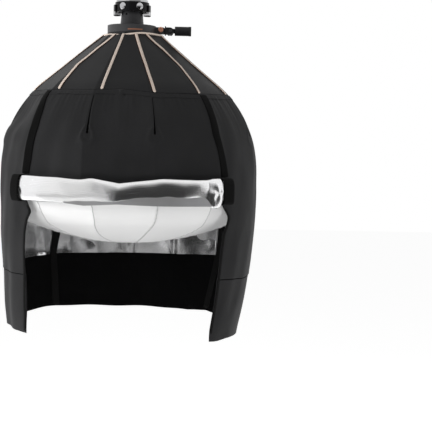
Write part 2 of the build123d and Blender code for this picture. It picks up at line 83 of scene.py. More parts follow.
# A socket that takes part in plain arithmetic. Each operator adds one Math node.
class Wire:
    def __init__(self, nodes, socket):
        self.nodes = nodes
        self.socket = socket

    def __add__(self, other):
        return self.nodes.math("ADD", self, other)

    __radd__ = __add__

    def __sub__(self, other):
        return self.nodes.math("SUBTRACT", self, other)

    def __rsub__(self, other):
        return self.nodes.math("SUBTRACT", other, self)

    def __mul__(self, other):
        return self.nodes.math("MULTIPLY", self, other)

    __rmul__ = __mul__

    def __truediv__(self, other):
        return self.nodes.math("DIVIDE", self, other)

    def __rtruediv__(self, other):
        return self.nodes.math("DIVIDE", other, self)

    def __lt__(self, other):
        return self.nodes.math("LESS_THAN", self, other)

    def __gt__(self, other):
        return self.nodes.math("GREATER_THAN", self, other)

    def sine(self):
        return self.nodes.math("SINE", self)

    def size(self):
        return self.nodes.math("ABSOLUTE", self)

    def fraction(self):
        return self.nodes.math("FRACT", self)


# A node tree of a material or the world. All its nodes come from node().
class Nodes:
    def __init__(self, tree):
        self.tree = tree
        tree.nodes.clear()

    def plug(self, socket, value):
        if isinstance(value, Wire):
            self.tree.links.new(value.socket, socket)
        else:
            socket.default_value = value

    # A ramp's stops are its settings too. A node without outputs gives no wire.
    def node(self, kind, settings=None, inputs=None, output=0):
        made = self.tree.nodes.new(kind)
        for key, value in (settings or {}).items():
            if key == "stops":
                for index, (place, colour) in enumerate(value):
                    stops = made.color_ramp.elements
                    stop = stops[index] if index < len(stops) else stops.new(place)
                    stop.position = place
                    stop.color = (*colour, 1)
            else:
                setattr(made, key, value)
        for key, value in (inputs or {}).items():
            self.plug(made.inputs[key], value)
        return Wire(self, made.outputs[output]) if len(made.outputs) else None

    def math(self, operation, *values):
        return self.node("ShaderNodeMath", {"operation": operation}, dict(enumerate(values)))

    # 1 for the rays that should meet a white background, 0 for those that light the object
    def seen(self):
        rays = [self.node("ShaderNodeLightPath", output="Is " + ray + " Ray")
                for ray in ("Camera", "Glossy", "Transmission")]
        return self.math("MAXIMUM", self.math("MAXIMUM", rays[0], rays[1]), rays[2])


# One procedural material with a Principled shader. Fixed values go straight on the shader.
class Look(Nodes):
    def __init__(self, name, **fixed):
        self.material = bpy.data.materials.new(name)
        self.material.use_nodes = True
        super().__init__(self.material.node_tree)
        shaded = self.node("ShaderNodeBsdfPrincipled")
        self.shader = shaded.socket.node
        self.node("ShaderNodeOutputMaterial", inputs={0: shaded})
        self.give(**fixed)

    # baseColor goes to the shader's Base Color socket, and so on
    def give(self, **values):
        for key, value in values.items():
            words = "".join(" " + letter if letter.isupper() else letter for letter in key).title()
            words = words.replace("Ior", "IOR")
            if isinstance(value, tuple) and len(value) == 3:
                value = (*value, 1)
            self.plug(self.shader.inputs[words], value)

    def place(self):
        return self.node("ShaderNodeTexCoord", output=3)

    def threads(self):
        return self.node("ShaderNodeUVMap", {"uv_map": "threads"})

    def part(self, vector, axis):
        return self.node("ShaderNodeSeparateXYZ", inputs={0: vector}, output=axis)

    def noise(self, vector, scale, detail=3.0, roughness=0.5, stretch=(1, 1, 1)):
        moved = self.node("ShaderNodeMapping", inputs={"Vector": vector, "Scale": stretch})
        inputs = {"Vector": moved, "Scale": scale, "Detail": detail, "Roughness": roughness}
        return self.node("ShaderNodeTexNoise", inputs=inputs)

    def ramp(self, factor, *stops):
        return self.node("ShaderNodeValToRGB", {"stops": stops}, {0: factor})

    def blend(self, factor, first, second):
        colours = [(*colour, 1) if isinstance(colour, tuple) else colour for colour in (first, second)]
        inputs = {0: factor, 6: colours[0], 7: colours[1]}
        return self.node("ShaderNodeMix", {"data_type": "RGBA"}, inputs, 2)

    def between(self, factor, low, high):
        return factor * (high - low) + low

    # Plain weave: warp and weft cross as two sine waves
    def weave(self, vector, pitch):
        turn = 2 * math.pi / pitch
        return (self.part(vector, 0) * turn).sine() * (self.part(vector, 1) * turn).sine()

    def bumps(self, *layers):
        normal = None
        for height, distance, strength in layers:
            inputs = {"Height": height, "Distance": distance, "Strength": strength}
            if normal:
                inputs["Normal"] = normal
            normal = self.node("ShaderNodeBump", inputs=inputs)
        self.give(normal=normal)


def grey(level):
    return (level, level, level)


# Black nylon: close weave, a faint mottling and a soft sheen
def nylonLook(name, colour, roughness=0.55, shine=0.07, pitch=0.0006):
    look = Look(name, specularIorLevel=shine)
    mottle = look.noise(look.place(), 9, 4, 0.6)
    fine = look.noise(look.place(), 260, 2)
    broad = look.noise(look.place(), 5.5, 2, 0.5)
    dark = tuple(0.45 * part for part in colour)
    light = tuple(1.75 * part for part in colour)
    look.give(baseColor=look.blend(broad * 0.7 + mottle * 0.2 + fine * 0.1, dark, light))
    look.give(roughness=look.between(mottle, roughness - 0.1, roughness + 0.1))
    look.bumps((mottle, 0.003, 0.2), (look.weave(look.threads(), pitch), 0.00004, 0.2))
    return look.material


# Silver cloth. facet is how many broad facets there are to a metre, and depth how deep they are.
# patch is the size of its duller patches, and dull and bright are their two greys: a random tone that partly
# paints reflection into the colour.
silver = {
    "lining": {"facet": 9, "depth": 0.035, "strength": 0.9, "roughness": 0.17, "patch": 0.09,
               "dull": 0.60, "bright": 0.92, "metallic": 0.93},
    "roll": {"facet": 7, "depth": 0.003, "strength": 0.25, "roughness": 0.20, "patch": 0.16,
             "dull": 0.84, "bright": 0.92, "metallic": 0.965},
    # edge is a darker, duller copy of the roll's silver: painted shade for the roll's free edge
    "edge": {"facet": 9, "depth": 0.003, "strength": 0.25, "roughness": 0.50, "patch": 0.16,
             "dull": 0.27, "bright": 0.34, "metallic": 0.30},
    "grid": 0.0042,
    "gridLine": 0.44,
    "gridColour": (0.25, 0.25, 0.26),
}


# Broad facets with ridges between them, a fine reinforcing grid, and brighter or duller patches: a random
# tone that partly paints reflection into the colour.
# A ridge is one less the size of a noise about its middle.
def silverLook(name, kind):
    cut = silver[kind]
    look = Look(name, metallic=cut["metallic"])
    place = look.place()
    threads = look.threads()
    wander = look.noise(place, 1 / cut["patch"], 2, 0.45)
    broad = look.noise(place, cut["facet"], 1, 0.3)
    ridge = 1 - (look.noise(place, cut["facet"] * 0.8, 1, 0.3, (1, 1.3, 0.8)) - 0.5).size() * 4
    across, along = (((look.part(threads, axis) / silver["grid"]).fraction() - 0.5).size() for axis in (0, 1))
    grid = look.math("MAXIMUM", across, along) > silver["gridLine"]
    bright = cut["bright"]
    # painted reflection in part: random duller and brighter greys in the metal's colour
    reflectionPatches = look.ramp(wander, (0.38, grey(cut["dull"])), (0.56, (bright, bright, bright + 0.01)))
    look.give(baseColor=look.blend(grid * 0.22, reflectionPatches, silver["gridColour"]))
    look.give(roughness=look.between(wander, cut["roughness"] - 0.06, cut["roughness"] + 0.10))
    depth, strength = cut["depth"], cut["strength"]
    look.bumps((broad, depth, strength), (ridge, depth * 0.5, strength * 0.6), (grid, 0.0001, 0.3))
    return look.material


# Woven tape or webbing: ribs across the tape, or a twill when slanted. Past edge, in metres from the
# tape's middle, it is dark brown.
def tapeLook(name, colour, shade, pitch, slant=0.0, roughness=0.75, edge=None):
    look = Look(name, roughness=roughness, specularIorLevel=0.08)
    threads = look.threads()
    turn = 2 * math.pi / pitch
    ribbing = ((look.part(threads, 1) + look.part(threads, 0) * slant) * turn).sine() * 0.5 + 0.5
    wear = look.noise(look.place(), 45, 3)
    body = look.blend(ribbing * 0.45 + wear * 0.55, shade, colour)
    if edge:
        body = look.blend(look.part(threads, 0).size() > edge, body, (0.16, 0.07, 0.04))
    look.give(baseColor=body)
    look.bumps((ribbing, 0.0002, 0.6), (look.noise(look.place(), 900, 2), 0.0001, 0.3))
    return look.material


# White knitted diffuser: fine knit, almost even white
def diffuserLook():
    look = Look("diffuserCloth", roughness=0.85, specularIorLevel=0.2)
    threads = look.threads()
    soft = look.noise(look.place(), 7, 3, 0.5)
    look.give(baseColor=look.blend(soft, grey(0.86), (0.92, 0.92, 0.915)))
    look.bumps((look.weave(threads, 0.0011), 0.00008, 0.35), (soft, 0.006, 0.12))
    return look.material


# Painted or plated metal and moulded plastic on Object coordinates
def hardLook(name, colour, roughness, metallic=0.0, grain=0.0, scale=900, brushed=(1, 1, 1), shine=0.3):
    look = Look(name, metallic=metallic, specularIorLevel=shine)
    place = look.place()
    grit = look.noise(place, scale, 2, 0.5, brushed)
    wear = look.noise(place, 60, 4, 0.6)
    dark = tuple(0.85 * part for part in colour)
    light = tuple(min(1.12 * part + 0.002, 1) for part in colour)
    look.give(baseColor=look.blend(wear, dark, light))
    look.give(roughness=look.between(wear, roughness * 0.8, roughness * 1.25))
    look.bumps((grit, 0.0001, grain))
    return look


# Knurling: two sets of slanted grooves round a bar along Y, at the clamp screw's own axis
def knurledLook(centre, radius, colour, grooves=14.0):
    look = hardLook("knurledCopper", colour, 0.28, metallic=1.0, grain=0.15)
    place = look.place()
    turned = look.math("ARCTAN2", look.part(place, 2) - centre.z, look.part(place, 0) - centre.x)
    around = turned * grooves
    along = look.part(place, 1) * (grooves / radius)
    ridges = (around + along).sine() * (around - along).sine()
    look.bumps((ridges, 0.0005, 0.8))
    return look.material


print("looks are ready")


def smooth(share):
    share = np.clip(share, 0, 1)
    return share * share * (3 - 2 * share)


# A bell curve of height 1
def hill(place, centre, width):
    return np.exp(-(((place - centre) / width) ** 2))


# Sum of small bumps, each with its azimuth, height, rise, and half widths in degrees and metres
def spots(azimuth, height, places):
    return sum(rise * hill(azimuth, middle, wide) * hill(height, level, tall)
               for middle, level, rise, wide, tall in places)


# A sine or cosine pressed towards a square wave: its size to a power, with its own sign
def pressed(wave, power):
    return np.sign(wave) * np.abs(wave) ** power


# Degrees from a middle to an azimuth, from -180 to 180
def degreesFrom(middle, azimuth):
    return (azimuth - middle + 180) % 360 - 180


# Values of a table of pairs
def read(table, place, **settings):
    return np.interp(place, *zip(*table), **settings)


# Points at a radius and height, at an azimuth in radians
def onRing(radius, around, height):
    return np.stack([radius * np.sin(around), -radius * np.cos(around), height + 0 * around], -1)


# Sum of sine waves in seeded random directions. size is the wavelength of the longest one.
def ripples(x, y, seed, size, count=8):
    dice = np.random.default_rng(seed)
    total = 0
    for index in range(count):
        turn, shift = dice.uniform(0, 2 * math.pi, 2)
        step = 2 * math.pi / (size * 0.82**index)
        total = total + np.sin((x * math.cos(turn) + y * math.sin(turn)) * step + shift)
    return total / math.sqrt(count)


# Ridged folds: each wave is one less its own absolute sine, so that it comes to a sharp crease
def creases(x, y, seed, size, count=7):
    dice = np.random.default_rng(seed)
    total = 0
    for index in range(count):
        turn, shift = dice.uniform(0, 2 * math.pi, 2)
        step = math.pi / (size * 0.86**index)
        bend = 0.7 * np.sin((x * math.sin(turn) - y * math.cos(turn)) * step * 0.6 + shift)
        wave = np.sin((x * math.cos(turn) + y * math.sin(turn)) * step + shift + bend)
        total = total + 1 - np.abs(wave) - 0.36
    return total / math.sqrt(count)


# Cloth radius by height: a cone, an arc tangent to it, an upright wall and a wide arc that draws in
def clothRadius(height):
    cone = math.radians(cloth["coneAngle"])
    middleRadius = cloth["skirtRadius"] - cloth["shoulderRadius"]
    reach = cloth["shoulderRadius"] + (middleRadius - cloth["collarRadius"]) * math.sin(cone)
    middleHeight = cloth["collarHeight"] - reach / math.cos(cone)
    tangent = middleHeight + cloth["shoulderRadius"] * math.cos(cone)
    line = cloth["collarRadius"] + (cloth["collarHeight"] - height) / math.tan(cone)
    drop = np.clip(height - middleHeight, 0, cloth["shoulderRadius"])
    arc = middleRadius + np.sqrt(cloth["shoulderRadius"] ** 2 - drop**2)
    fall = np.clip(height - cloth["taperTop"], -1, 0)
    wall = cloth["skirtRadius"] - cloth["taperRadius"] + np.sqrt(cloth["taperRadius"] ** 2 - fall**2)
    return np.select([height > tangent, height > middleHeight], [line, arc], wall)


# How fast the outline widens as it goes down
def clothSlope(height, step=0.0005):
    return (clothRadius(height - step) - clothRadius(height + step)) / (2 * step)


# A chord between two ribs: its radius as a share of the round one, and the degrees from the gore's middle
def goreChord(azimuth):
    fromMiddle = (azimuth - cloth["firstRib"]) % goreAngle - goreAngle / 2
    return math.cos(math.radians(goreAngle / 2)) / np.cos(np.radians(fromMiddle)), fromMiddle


# Folds of the cloth. rise is a height and size a longest wavelength, in metres.
folds = {
    "slack": {"rise": 0.0018, "size": 0.21, "seed": 3},
    "tautRight": 0.65,
    "crumple": {"rise": 0.0008, "size": 0.16, "seed": 5},
    "pleat": {"rise": 0.0007, "size": 0.035, "seed": 11, "fade": 0.04},
    "dart": {"heap": 0.0032, "heapWidth": 0.016, "groove": 0.0060, "width": 0.0019, "widening": 0.0024,
             "end": -0.278},
    "darts": [(-17.5, -16.8, 1.0), (12.9, 12.4, 1.0), (73.0, 72.2, 0.4), (101.5, 102.0, 0.6),
              (162.0, 163.0, 0.8), (193.5, 192.5, 0.8), (252.0, 251.0, 0.6),
              (283.0, 283.6, 0.3)],  # azimuths at the hem and at the end, strength
    "pocket": {"rise": 0.0042, "below": 0.008, "lip": 0.014, "lipWidth": 0.0055, "hollow": 0.009},
    "puckers": [(-3.4, -0.179, 0.0022, 1.3, 0.007), (-1.4, -0.186, -0.0016, 0.9, 0.006)],
    "leftSpan": (-130, -52, 20, 12),  # azimuths, and the degrees over which each end fades
    "leftDips": [(-0.292, 0.0035, 0.022), (-0.228, -0.007, 0.035)],  # height, rise, half height
    "backSeam": {"azimuth": 177.9, "depth": 0.0035, "width": 0.004},
    "rear": [(157.5, -0.0045, 0.009), (186.0, 0.003, 0.014), (203.0, 0.004, 0.014), (214.0, -0.004, 0.012),
             (230.0, -0.010, 0.022)],  # azimuth, rise, half width
    "rearLean": (14, -0.615),  # degrees to a metre, from a height
    "gore": [(-0.50, 0.0), (-0.43, 0.15), (-0.30, 0.5), (-0.171, 0.9), (-0.015, 1.0)],
    "flatGore": [(-0.50, 0.0), (-0.45, 0.25), (-0.38, 0.45), (-0.30, 0.35), (-0.171, 0.0)],
    "flatSpans": [(-3, 50, 8), (-93, 16, 4)],  # middle, half width and fade of the flatter gores
    "bulge": [(-0.50, 0.0), (-0.42, 0.001), (-0.33, 0.004), (-0.25, 0.008), (-0.171, 0.011), (-0.10, 0.009),
              (-0.015, 0.0095)],
    "hem": [(-180, 0.0), (-90, -0.002), (-45, -0.002), (-18, -0.004), (-3, -0.0005), (8, -0.006),
            (16, -0.009), (42, -0.007), (70, -0.004), (110, 0.0), (180, 0.0)],
    "hang": {"from": -0.50, "over": 0.30, "power": 1.5, "aside": -0.011},
}


# Darts: a sharp groove down from the hem with cloth heaped on one side of it, which ends in a
# drop-shaped pocket with a lip round it
def dartFolds(azimuth, height):
    dart, pocket = folds["dart"], folds["pocket"]
    below = cloth["hemHeight"] - height
    length = cloth["hemHeight"] - dart["end"]
    drop = below - length - pocket["below"]
    total = 0 * below
    for start, end, strength in folds["darts"]:
        line = start + (end - start) * np.clip(below / length, 0, 1.3)
        side = 1 if end > start else -1
        across = np.radians(degreesFrom(line, azimuth)) * clothRadius(height)
        run = strength * smooth(below / 0.01) * smooth((length + 0.004 - below) / 0.010)
        heap = (np.tanh(side * across / 0.0015) + 1) / 2 * np.exp(-np.abs(across) / dart["heapWidth"])
        width = dart["width"] + dart["widening"] * np.clip(below / length, 0, 1) ** 3
        total += run * (dart["heap"] * heap * smooth(below / 0.06) - dart["groove"] * hill(across, 0, width))
        out = np.hypot(across * (1.0 - 0.9 * np.clip(drop / 0.05, -0.6, 0.4)), drop * 0.70)
        hollow = 0.7 * hill(out, pocket["lip"], pocket["lipWidth"]) - 1.3 * hill(out, 0, pocket["hollow"])
        total += strength * pocket["rise"] * hollow * smooth((0.05 - np.abs(drop)) / 0.02)
    return total


# How far the cloth stands off its outline, in metres: slack between the ribs, faint crumpling and pleats,
# darts, the back seam with upright folds beside it, and small dips. Hollows fade out over a rib.
def clothFolds(azimuth, height):
    along = np.radians(azimuth) * cloth["skirtRadius"]
    below = cloth["hemHeight"] - height
    slack, crumple, pleat, seam = (folds[key] for key in ("slack", "crumple", "pleat", "backSeam"))
    onSkirt = smooth(below / 0.03)
    taut = 1 - folds["tautRight"] * smooth((np.sin(np.radians(azimuth)) - 0.5) / 0.4)
    waves = ripples(along, height * 0.35, slack["seed"], slack["size"])
    total = slack["rise"] * taut * smooth(below / 0.12) * waves
    total += crumple["rise"] * onSkirt * creases(along, height * 0.8, crumple["seed"], crumple["size"])
    pleats = ripples(along, height * 0.15, pleat["seed"], pleat["size"], 5)
    total += pleat["rise"] * pleats * onSkirt * np.exp(-np.maximum(below, 0) / pleat["fade"])
    total += dartFolds(azimuth, height)
    onLining = smooth(below / 0.02) * smooth((height + 0.66) / 0.03)
    fromSeam = np.radians(degreesFrom(seam["azimuth"], azimuth)) * clothRadius(height)
    total -= seam["depth"] * hill(fromSeam, 0, seam["width"]) * onLining
    turns, level = folds["rearLean"]
    for middle, rise, width in folds["rear"]:
        across = np.radians(degreesFrom(middle + turns * (height - level), azimuth)) * cloth["skirtRadius"]
        total += rise * hill(across, 0, width) * onLining * smooth((-0.45 - height) / 0.10)
    total += spots(azimuth, height, folds["puckers"])
    first, last, fadeIn, fadeOut = folds["leftSpan"]
    turned = degreesFrom(0, azimuth)
    onLeft = smooth((last - turned) / fadeOut) * smooth((turned - first) / fadeIn)
    total += onLeft * sum(rise * hill(height, middle, tall) for middle, rise, tall in folds["leftDips"])
    fromRib = (azimuth - cloth["firstRib"] + goreAngle / 2) % goreAngle - goreAngle / 2
    held = 1 - np.exp(-((fromRib / 4) ** 2)) * smooth((height + 0.45) / 0.05)
    return np.where(total < 0, total * held, total)


# A point on the cloth: round the axis at the outline's radius, drawn to a chord between two ribs,
# then moved along the outline's normal by the folds and an offset. The skirt hangs a little to the
# left at its bottom, and the right side bulges above it.
def clothPoint(azimuth, height, offset=0.0):
    azimuth, height, offset = np.broadcast_arrays(azimuth, height, offset)
    turned = degreesFrom(0, azimuth)
    height = height + read(folds["hem"], turned) * hill(height, cloth["hemHeight"], 0.05)
    onFlat = sum(smooth((half - np.abs(turned - middle)) / fade) for middle, half, fade in folds["flatSpans"])
    flatness = read(folds["gore"], height) + read(folds["flatGore"], height) * onFlat
    slope = clothSlope(height)
    length = np.hypot(1, slope)
    move = offset + clothFolds(azimuth, height)
    turn = np.radians(azimuth)
    onRight = smooth((np.sin(turn) - 0.6) / 0.36)
    radius = clothRadius(height) * (1 + flatness * (goreChord(azimuth)[0] - 1)) + move / length
    radius = radius + read(folds["bulge"], height) * onRight
    hang = folds["hang"]
    points = onRing(radius, turn, height + move * slope / length)
    points[..., 0] += hang["aside"] * np.clip((hang["from"] - height) / hang["over"], 0, 1) ** hang["power"]
    return points


# An object at the origin for a finished mesh
def placeMesh(name, mesh):
    piece = bpy.data.objects.new(name, mesh)
    bpy.context.scene.collection.objects.link(piece)
    return piece


# Four corners of each face of a grid of points, numbered from start
def gridFaces(rows, columns, start=0):
    index = np.arange(rows * columns).reshape(rows, columns) + start
    return np.stack([index[:-1, :-1], index[1:, :-1], index[1:, 1:], index[:-1, 1:]], -1).reshape(-1, 4)


# Grids of points, rows running down and columns towards larger azimuths, joined as one mesh. Each grid is
# its points, its threads and, where it isn't 0, the place of its look. slots are those of the inner face
# and of the rim, counted from the outer one.
def surface(name, grids, looks, thickness=0.0, slots=(0, 0)):
    points, faces, threads, marks, start = [], [], [], [], 0
    for place, uv, *mark in grids:
        faces.append(gridFaces(*place.shape[:2], start))
        points.append(place.reshape(-1, 3))
        threads.append(uv.reshape(-1, 2)[faces[-1] - start].reshape(-1, 2))
        marks.append(np.full(len(faces[-1]), mark[0] if mark else 0))
        start += len(points[-1])
    mesh = bpy.data.meshes.new(name)
    mesh.from_pydata(np.concatenate(points).tolist(), [], np.concatenate(faces).tolist())
    layer = mesh.uv_layers.new(name="threads")
    layer.data.foreach_set("uv", np.concatenate(threads).ravel().astype(np.float32))
    mesh.polygons.foreach_set("material_index", np.concatenate(marks).astype(np.int32))
    work = bmesh.new()
    work.from_mesh(mesh)
    bmesh.ops.remove_doubles(work, verts=work.verts, dist=2e-6)
    work.to_mesh(mesh)
    work.free()
    mesh.polygons.foreach_set("use_smooth", np.full(len(mesh.polygons), True))
    for look in looks:
        mesh.materials.append(look)
    piece = placeMesh(name, mesh)
    if thickness:
        shell = piece.modifiers.new("thickness", "SOLIDIFY")
        shell.thickness = thickness
        shell.offset = -1
        shell.use_even_offset = False
        shell.material_offset, shell.material_offset_rim = slots
    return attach(piece, "softbox")


# The piece is shown in a CAD node's place, and the node is hidden
def standIn(piece, node):
    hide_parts(node)
    return piece


# Area of a piece's mesh in square metres
def areaOf(piece):
    areas = np.empty(len(piece.data.polygons))
    piece.data.polygons.foreach_get("area", areas)
    return float(areas.sum())


# Metres from the top row down each column of a grid
def lengthDown(points):
    down = np.zeros(points.shape[:2])
    down[1:] = np.cumsum(np.linalg.norm(np.diff(points, axis=0), axis=2), axis=0)
    return down


# Threads of a panel: metres round the cloth at its own height, and metres down it
def panelThreads(azimuth, points):
    around = np.radians(azimuth - azimuth.mean()) * np.hypot(points[..., 0], points[..., 1])
    return np.stack([around, -lengthDown(points)], -1)


# Section of a band: a ring pressed flat, with rounded corners, as places across the band and off the
# cloth. Where ends is 0 it shrinks to a point.
def bandSection(turn, width, low, high, flat, ends):
    across = -pressed(np.cos(turn), flat) * width / 2 * ends
    return across, (low + high) / 2 + pressed(np.sin(turn), flat) * (high - low) / 2 * ends


# A band that follows the cloth down a line: the section is carried down, and lean gives the azimuth by height
def downBand(lean, top, bottom, width, low, high, rows=90, flat=0.35):
    heights = np.linspace(top, bottom, rows)[:, None]
    turn = np.linspace(0, 2 * math.pi, 21)[None, :]
    ends = np.ones((rows, 1))
    ends[[0, -1]] = 0
    wide = width(heights) if callable(width) else width
    across, out = bandSection(turn, wide, low, high, flat, ends)
    heights = heights + 0 * across
    azimuth = lean(heights) + np.degrees(across / clothRadius(heights))
    return clothPoint(azimuth, heights, out), np.stack([across, -heights], -1)


def makeDownBand(name, look, *place, **shape):
    return surface(name, [downBand(*place, **shape)], [look])


# A band that goes round the cloth: the section is carried round, and level gives the height by azimuth
def ringBand(name, start, end, level, width, low, high, look, columns=480):
    azimuth = np.linspace(start, end, columns + 1)[None, :]
    turn = np.linspace(0, 2 * math.pi, 21)[:, None]
    ends = np.ones((1, columns + 1))
    if end - start < 359:
        ends[0, [0, -1]] = 0
    up, out = bandSection(turn, width, low, high, 0.35, ends)
    heights = level(azimuth) + up
    azimuth = azimuth + 0 * up
    uv = np.stack([np.radians(azimuth) * clothRadius(heights), up], -1)
    return surface(name, [(clothPoint(azimuth, heights, out), uv)], [look])


# The same value at every place
def fixed(value):
    return lambda place: value + 0 * place


blackCloth = nylonLook("skirtNylon", (0.0185, 0.0185, 0.0192))
domeCloth = nylonLook("domeNylon", (0.0165, 0.0165, 0.0172), roughness=0.45)
# painted shade: a much darker copy of the black nylon for the lower bands' inner face, which lies in the
# skirt's shade
shadedBandLining = nylonLook("shadedLowerBandLining", (0.0035, 0.0035, 0.0037), roughness=0.8, shine=0.02)
# near black: painted shade for the dart grooves and under the seam above the lower bands
paintedSeamShade = nylonLook("paintedSeamShade", grey(0.0015), roughness=0.9, shine=0.0)
silverLining = silverLook("silverLining", "lining")
silverRoll = silverLook("silverRoll", "roll")
# painted shade: the darker silver of the roll's free edge, which lies under the turns
shadedSilverEdge = silverLook("shadedSilverEdge", "edge")
hookTape = tapeLook("hookTape", grey(0.0065), grey(0.003), 0.0016, roughness=0.9)
edgeTape = tapeLook("edgeTape", grey(0.0075), grey(0.004), 0.0010, roughness=0.7)
strapWeb = tapeLook("strapWeb", grey(0.0060), grey(0.003), 0.0018, roughness=0.8)
beige = {"colour": (0.97, 0.86, 0.78), "shade": (0.76, 0.61, 0.50), "pitch": 0.0022, "slant": 1.0}
beigeTape = tapeLook("beigeTape", edge=0.0037, **beige)
collarTape = tapeLook("collarTape", **beige)
diffuserCloth = diffuserLook()

# Dome: gores between the collar and the hem, each cut on its own grain
dome = {"columns": 36, "rows": 56, "ripple": 0.0004, "rippleSize": 0.09, "seed": 21}


# Each gore is the cloth from one rib to the next, with its rows moved up and down by small ripples
def makeDome():
    grids = []
    heights = np.linspace(cloth["collarHeight"], cloth["hemHeight"], dome["rows"])[:, None]
    for rib in ribs:
        azimuth = np.linspace(rib, rib + goreAngle, dome["columns"] + 1)[None, :] + 0 * heights
        points = clothPoint(azimuth, heights + 0 * azimuth)
        sway = ripples(np.radians(azimuth) * 0.2, heights * 0.3, dome["seed"], dome["rippleSize"], 3)
        points[..., 2] += dome["ripple"] * sway
        grids.append((points, panelThreads(azimuth, points)))
    piece = surface("domeCloth", grids, [domeCloth, silverLining], thickness=cloth["thickness"], slots=(1, 0))
    return standIn(piece, "dome_shell")


domePiece = makeDome()
print("dome is sewn")

# Piping: a wavy cord round the collar, and a tape over each rib that wanders a little
piping = {
    "collarTube": 0.0026,
    "collarRadius": 0.0755,
    "collarLevel": -0.0160,
    "collarLine": [(0, -0.001), (22, 0.0032), (50, 0.001), (90, -0.001), (180, 0.0), (270, -0.001),
                   (310, -0.0015), (340, -0.0046)],
    "aside": 0.0095,
    "ribWidth": {342: 0.0066, 12: 0.0086},
    "plainWidth": 0.0082,
    "ribHeight": 0.0024,
    "places": [0, 0.28, 0.56, 1],  # shares of a rib's length, at which lean gives its degrees aside
    "lean": {312.0: (15.0, 5.0, 0.9, 5.0), 342.0: (3.7, 3.6, 3.6, 3.7), 12.0: (-2.0, 0.0, 1.4, 2.7),
             42.0: (-9.0, 0.0, 3.8, 0.4), 72.0: (-4.0, -5.0, -4.0, -3.0)},
}


# A tube round the axis: its middle rises and falls by the line, and stands further out at the right
def makeCollarPiping():
    azimuth = np.linspace(0, 360, 241)[None, :]
    turn = np.linspace(0, 2 * math.pi, 17)[:, None]
    around = np.radians(azimuth)
    wave = sum(read(piping["collarLine"], azimuth + step, period=360) for step in (-9, -3, 3, 9)) / 4
    onRight = smooth((np.sin(around) - 0.4) / 0.55)
    radius = piping["collarRadius"] + piping["collarTube"] * np.sin(turn) + piping["aside"] * onRight
    height = piping["collarLevel"] + wave + piping["collarTube"] * np.cos(turn)
    uv = np.stack([around * radius, turn * piping["collarTube"] + 0 * around], -1)
    piece = surface("collarPiping", [(onRing(radius, around, height), uv)], [collarTape])
    return standIn(piece, "collar_piping")


# A band down each rib, at the rib's azimuth and its lean at that share of the length
def makeRibPiping():
    pieces = []
    top = cloth["collarHeight"] - 0.001
    bottom = cloth["hemHeight"] + 0.0005
    for index, rib in enumerate(ribs):
        key = rib % 360
        wander = (2 * math.sin(3 * index), math.sin(2 * index), 1.6 * math.sin(5 * index + 1), 1.0)
        lean = piping["lean"].get(key, wander)

        def line(heights, rib=rib, lean=lean):
            return rib + np.interp((heights - top) / (bottom - top), piping["places"], lean)

        width = piping["ribWidth"].get(key, piping["plainWidth"])
        pieces.append(downBand(line, top, bottom, width, 0.0002, piping["ribHeight"], 60, 0.7))
    piece = surface("ribPiping", pieces, [beigeTape])
    return standIn(piece, "rib_piping")


collarPiping = makeCollarPiping()
ribPiping = makeRibPiping()

# Skirt: four panels with silver inside, and lower bands below a seam on three of them. The edge tables
# give degrees by height, seam gives heights by azimuth, and drop what the bottom edge drops by azimuth.
skirt = {
    "gap": 0.0003,
    "inset": 0.06,
    "overlap": 0.004,
    "rows": 130,
    "columns": 190,
    "frontColumns": 340,
    "bandRows": 44,
    "bandOffset": -0.0014,
    "frontBottom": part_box("skirt_front")[0].z,
    "leftEdge": [(-0.80, -1.9), (-0.743, -0.2), (-0.66, 0.2), (-0.581, 0.6), (-0.535, 1.0), (-0.504, 2.6),
                 (-0.482, 5.3), (-0.461, 2.6), (-0.445, 1.0), (-0.384, 1.0), (-0.35, 1.8), (-0.27, 1.9),
                 (-0.225, 0.6), (-0.188, -2.0)],
    "rightEdge": [(-0.82, 5.2), (-0.782, 4.0), (-0.724, 3.7), (-0.65, 2.9), (-0.585, 2.7), (-0.535, 3.2),
                  (-0.504, 5.6), (-0.489, 6.2), (-0.46, 2.5), (-0.445, 2.2), (-0.384, 3.6), (-0.331, 2.2),
                  (-0.282, 0.9), (-0.178, 2.6)],
    "seam": [(45.5, -0.646), (68, -0.654), (100, -0.650), (130.4, -0.634), (154, -0.6416), (178, -0.643),
             (197, -0.643), (221, -0.640), (242.5, -0.6445), (280, -0.642), (311.6, -0.641)],
    "drop": [(0, -0.005), (42, -0.016), (60, -0.020), (85, -0.026), (100, -0.020), (132, 0), (145, -0.010),
             (160, -0.009), (178, -0.006), (222, 0.001), (270, 0), (312, -0.004), (360, -0.005)],
}
spans = {
    "front": (corners["frontLeft"], corners["frontRight"]),
    "right": (corners["frontRight"], corners["rearRight"]),
    "back": (corners["rearRight"], corners["rearLeft"]),
    "left": (corners["rearLeft"], corners["frontLeft"] + 360),
}


# Azimuth of a window edge by height, with the points of the curl joined smoothly
def windowEdge(side, height):
    soft = [read(skirt[side + "Edge"], height + step) for step in np.linspace(-0.005, 0.005, 5)]
    return corners["front" + side.title()] + sum(soft) / len(soft)


# Height of the seam above the lower bands, and of the bottom edge, by azimuth
def seamLevel(azimuth):
    return read(skirt["seam"], azimuth % 360, period=360)


def bottomLevel(azimuth):
    along = np.radians(azimuth)
    wave = 0.0018 * np.sin(5 * along + 0.6) + 0.0010 * np.sin(13 * along)
    return cloth["bottom"] + wave + read(skirt["drop"], azimuth % 360)


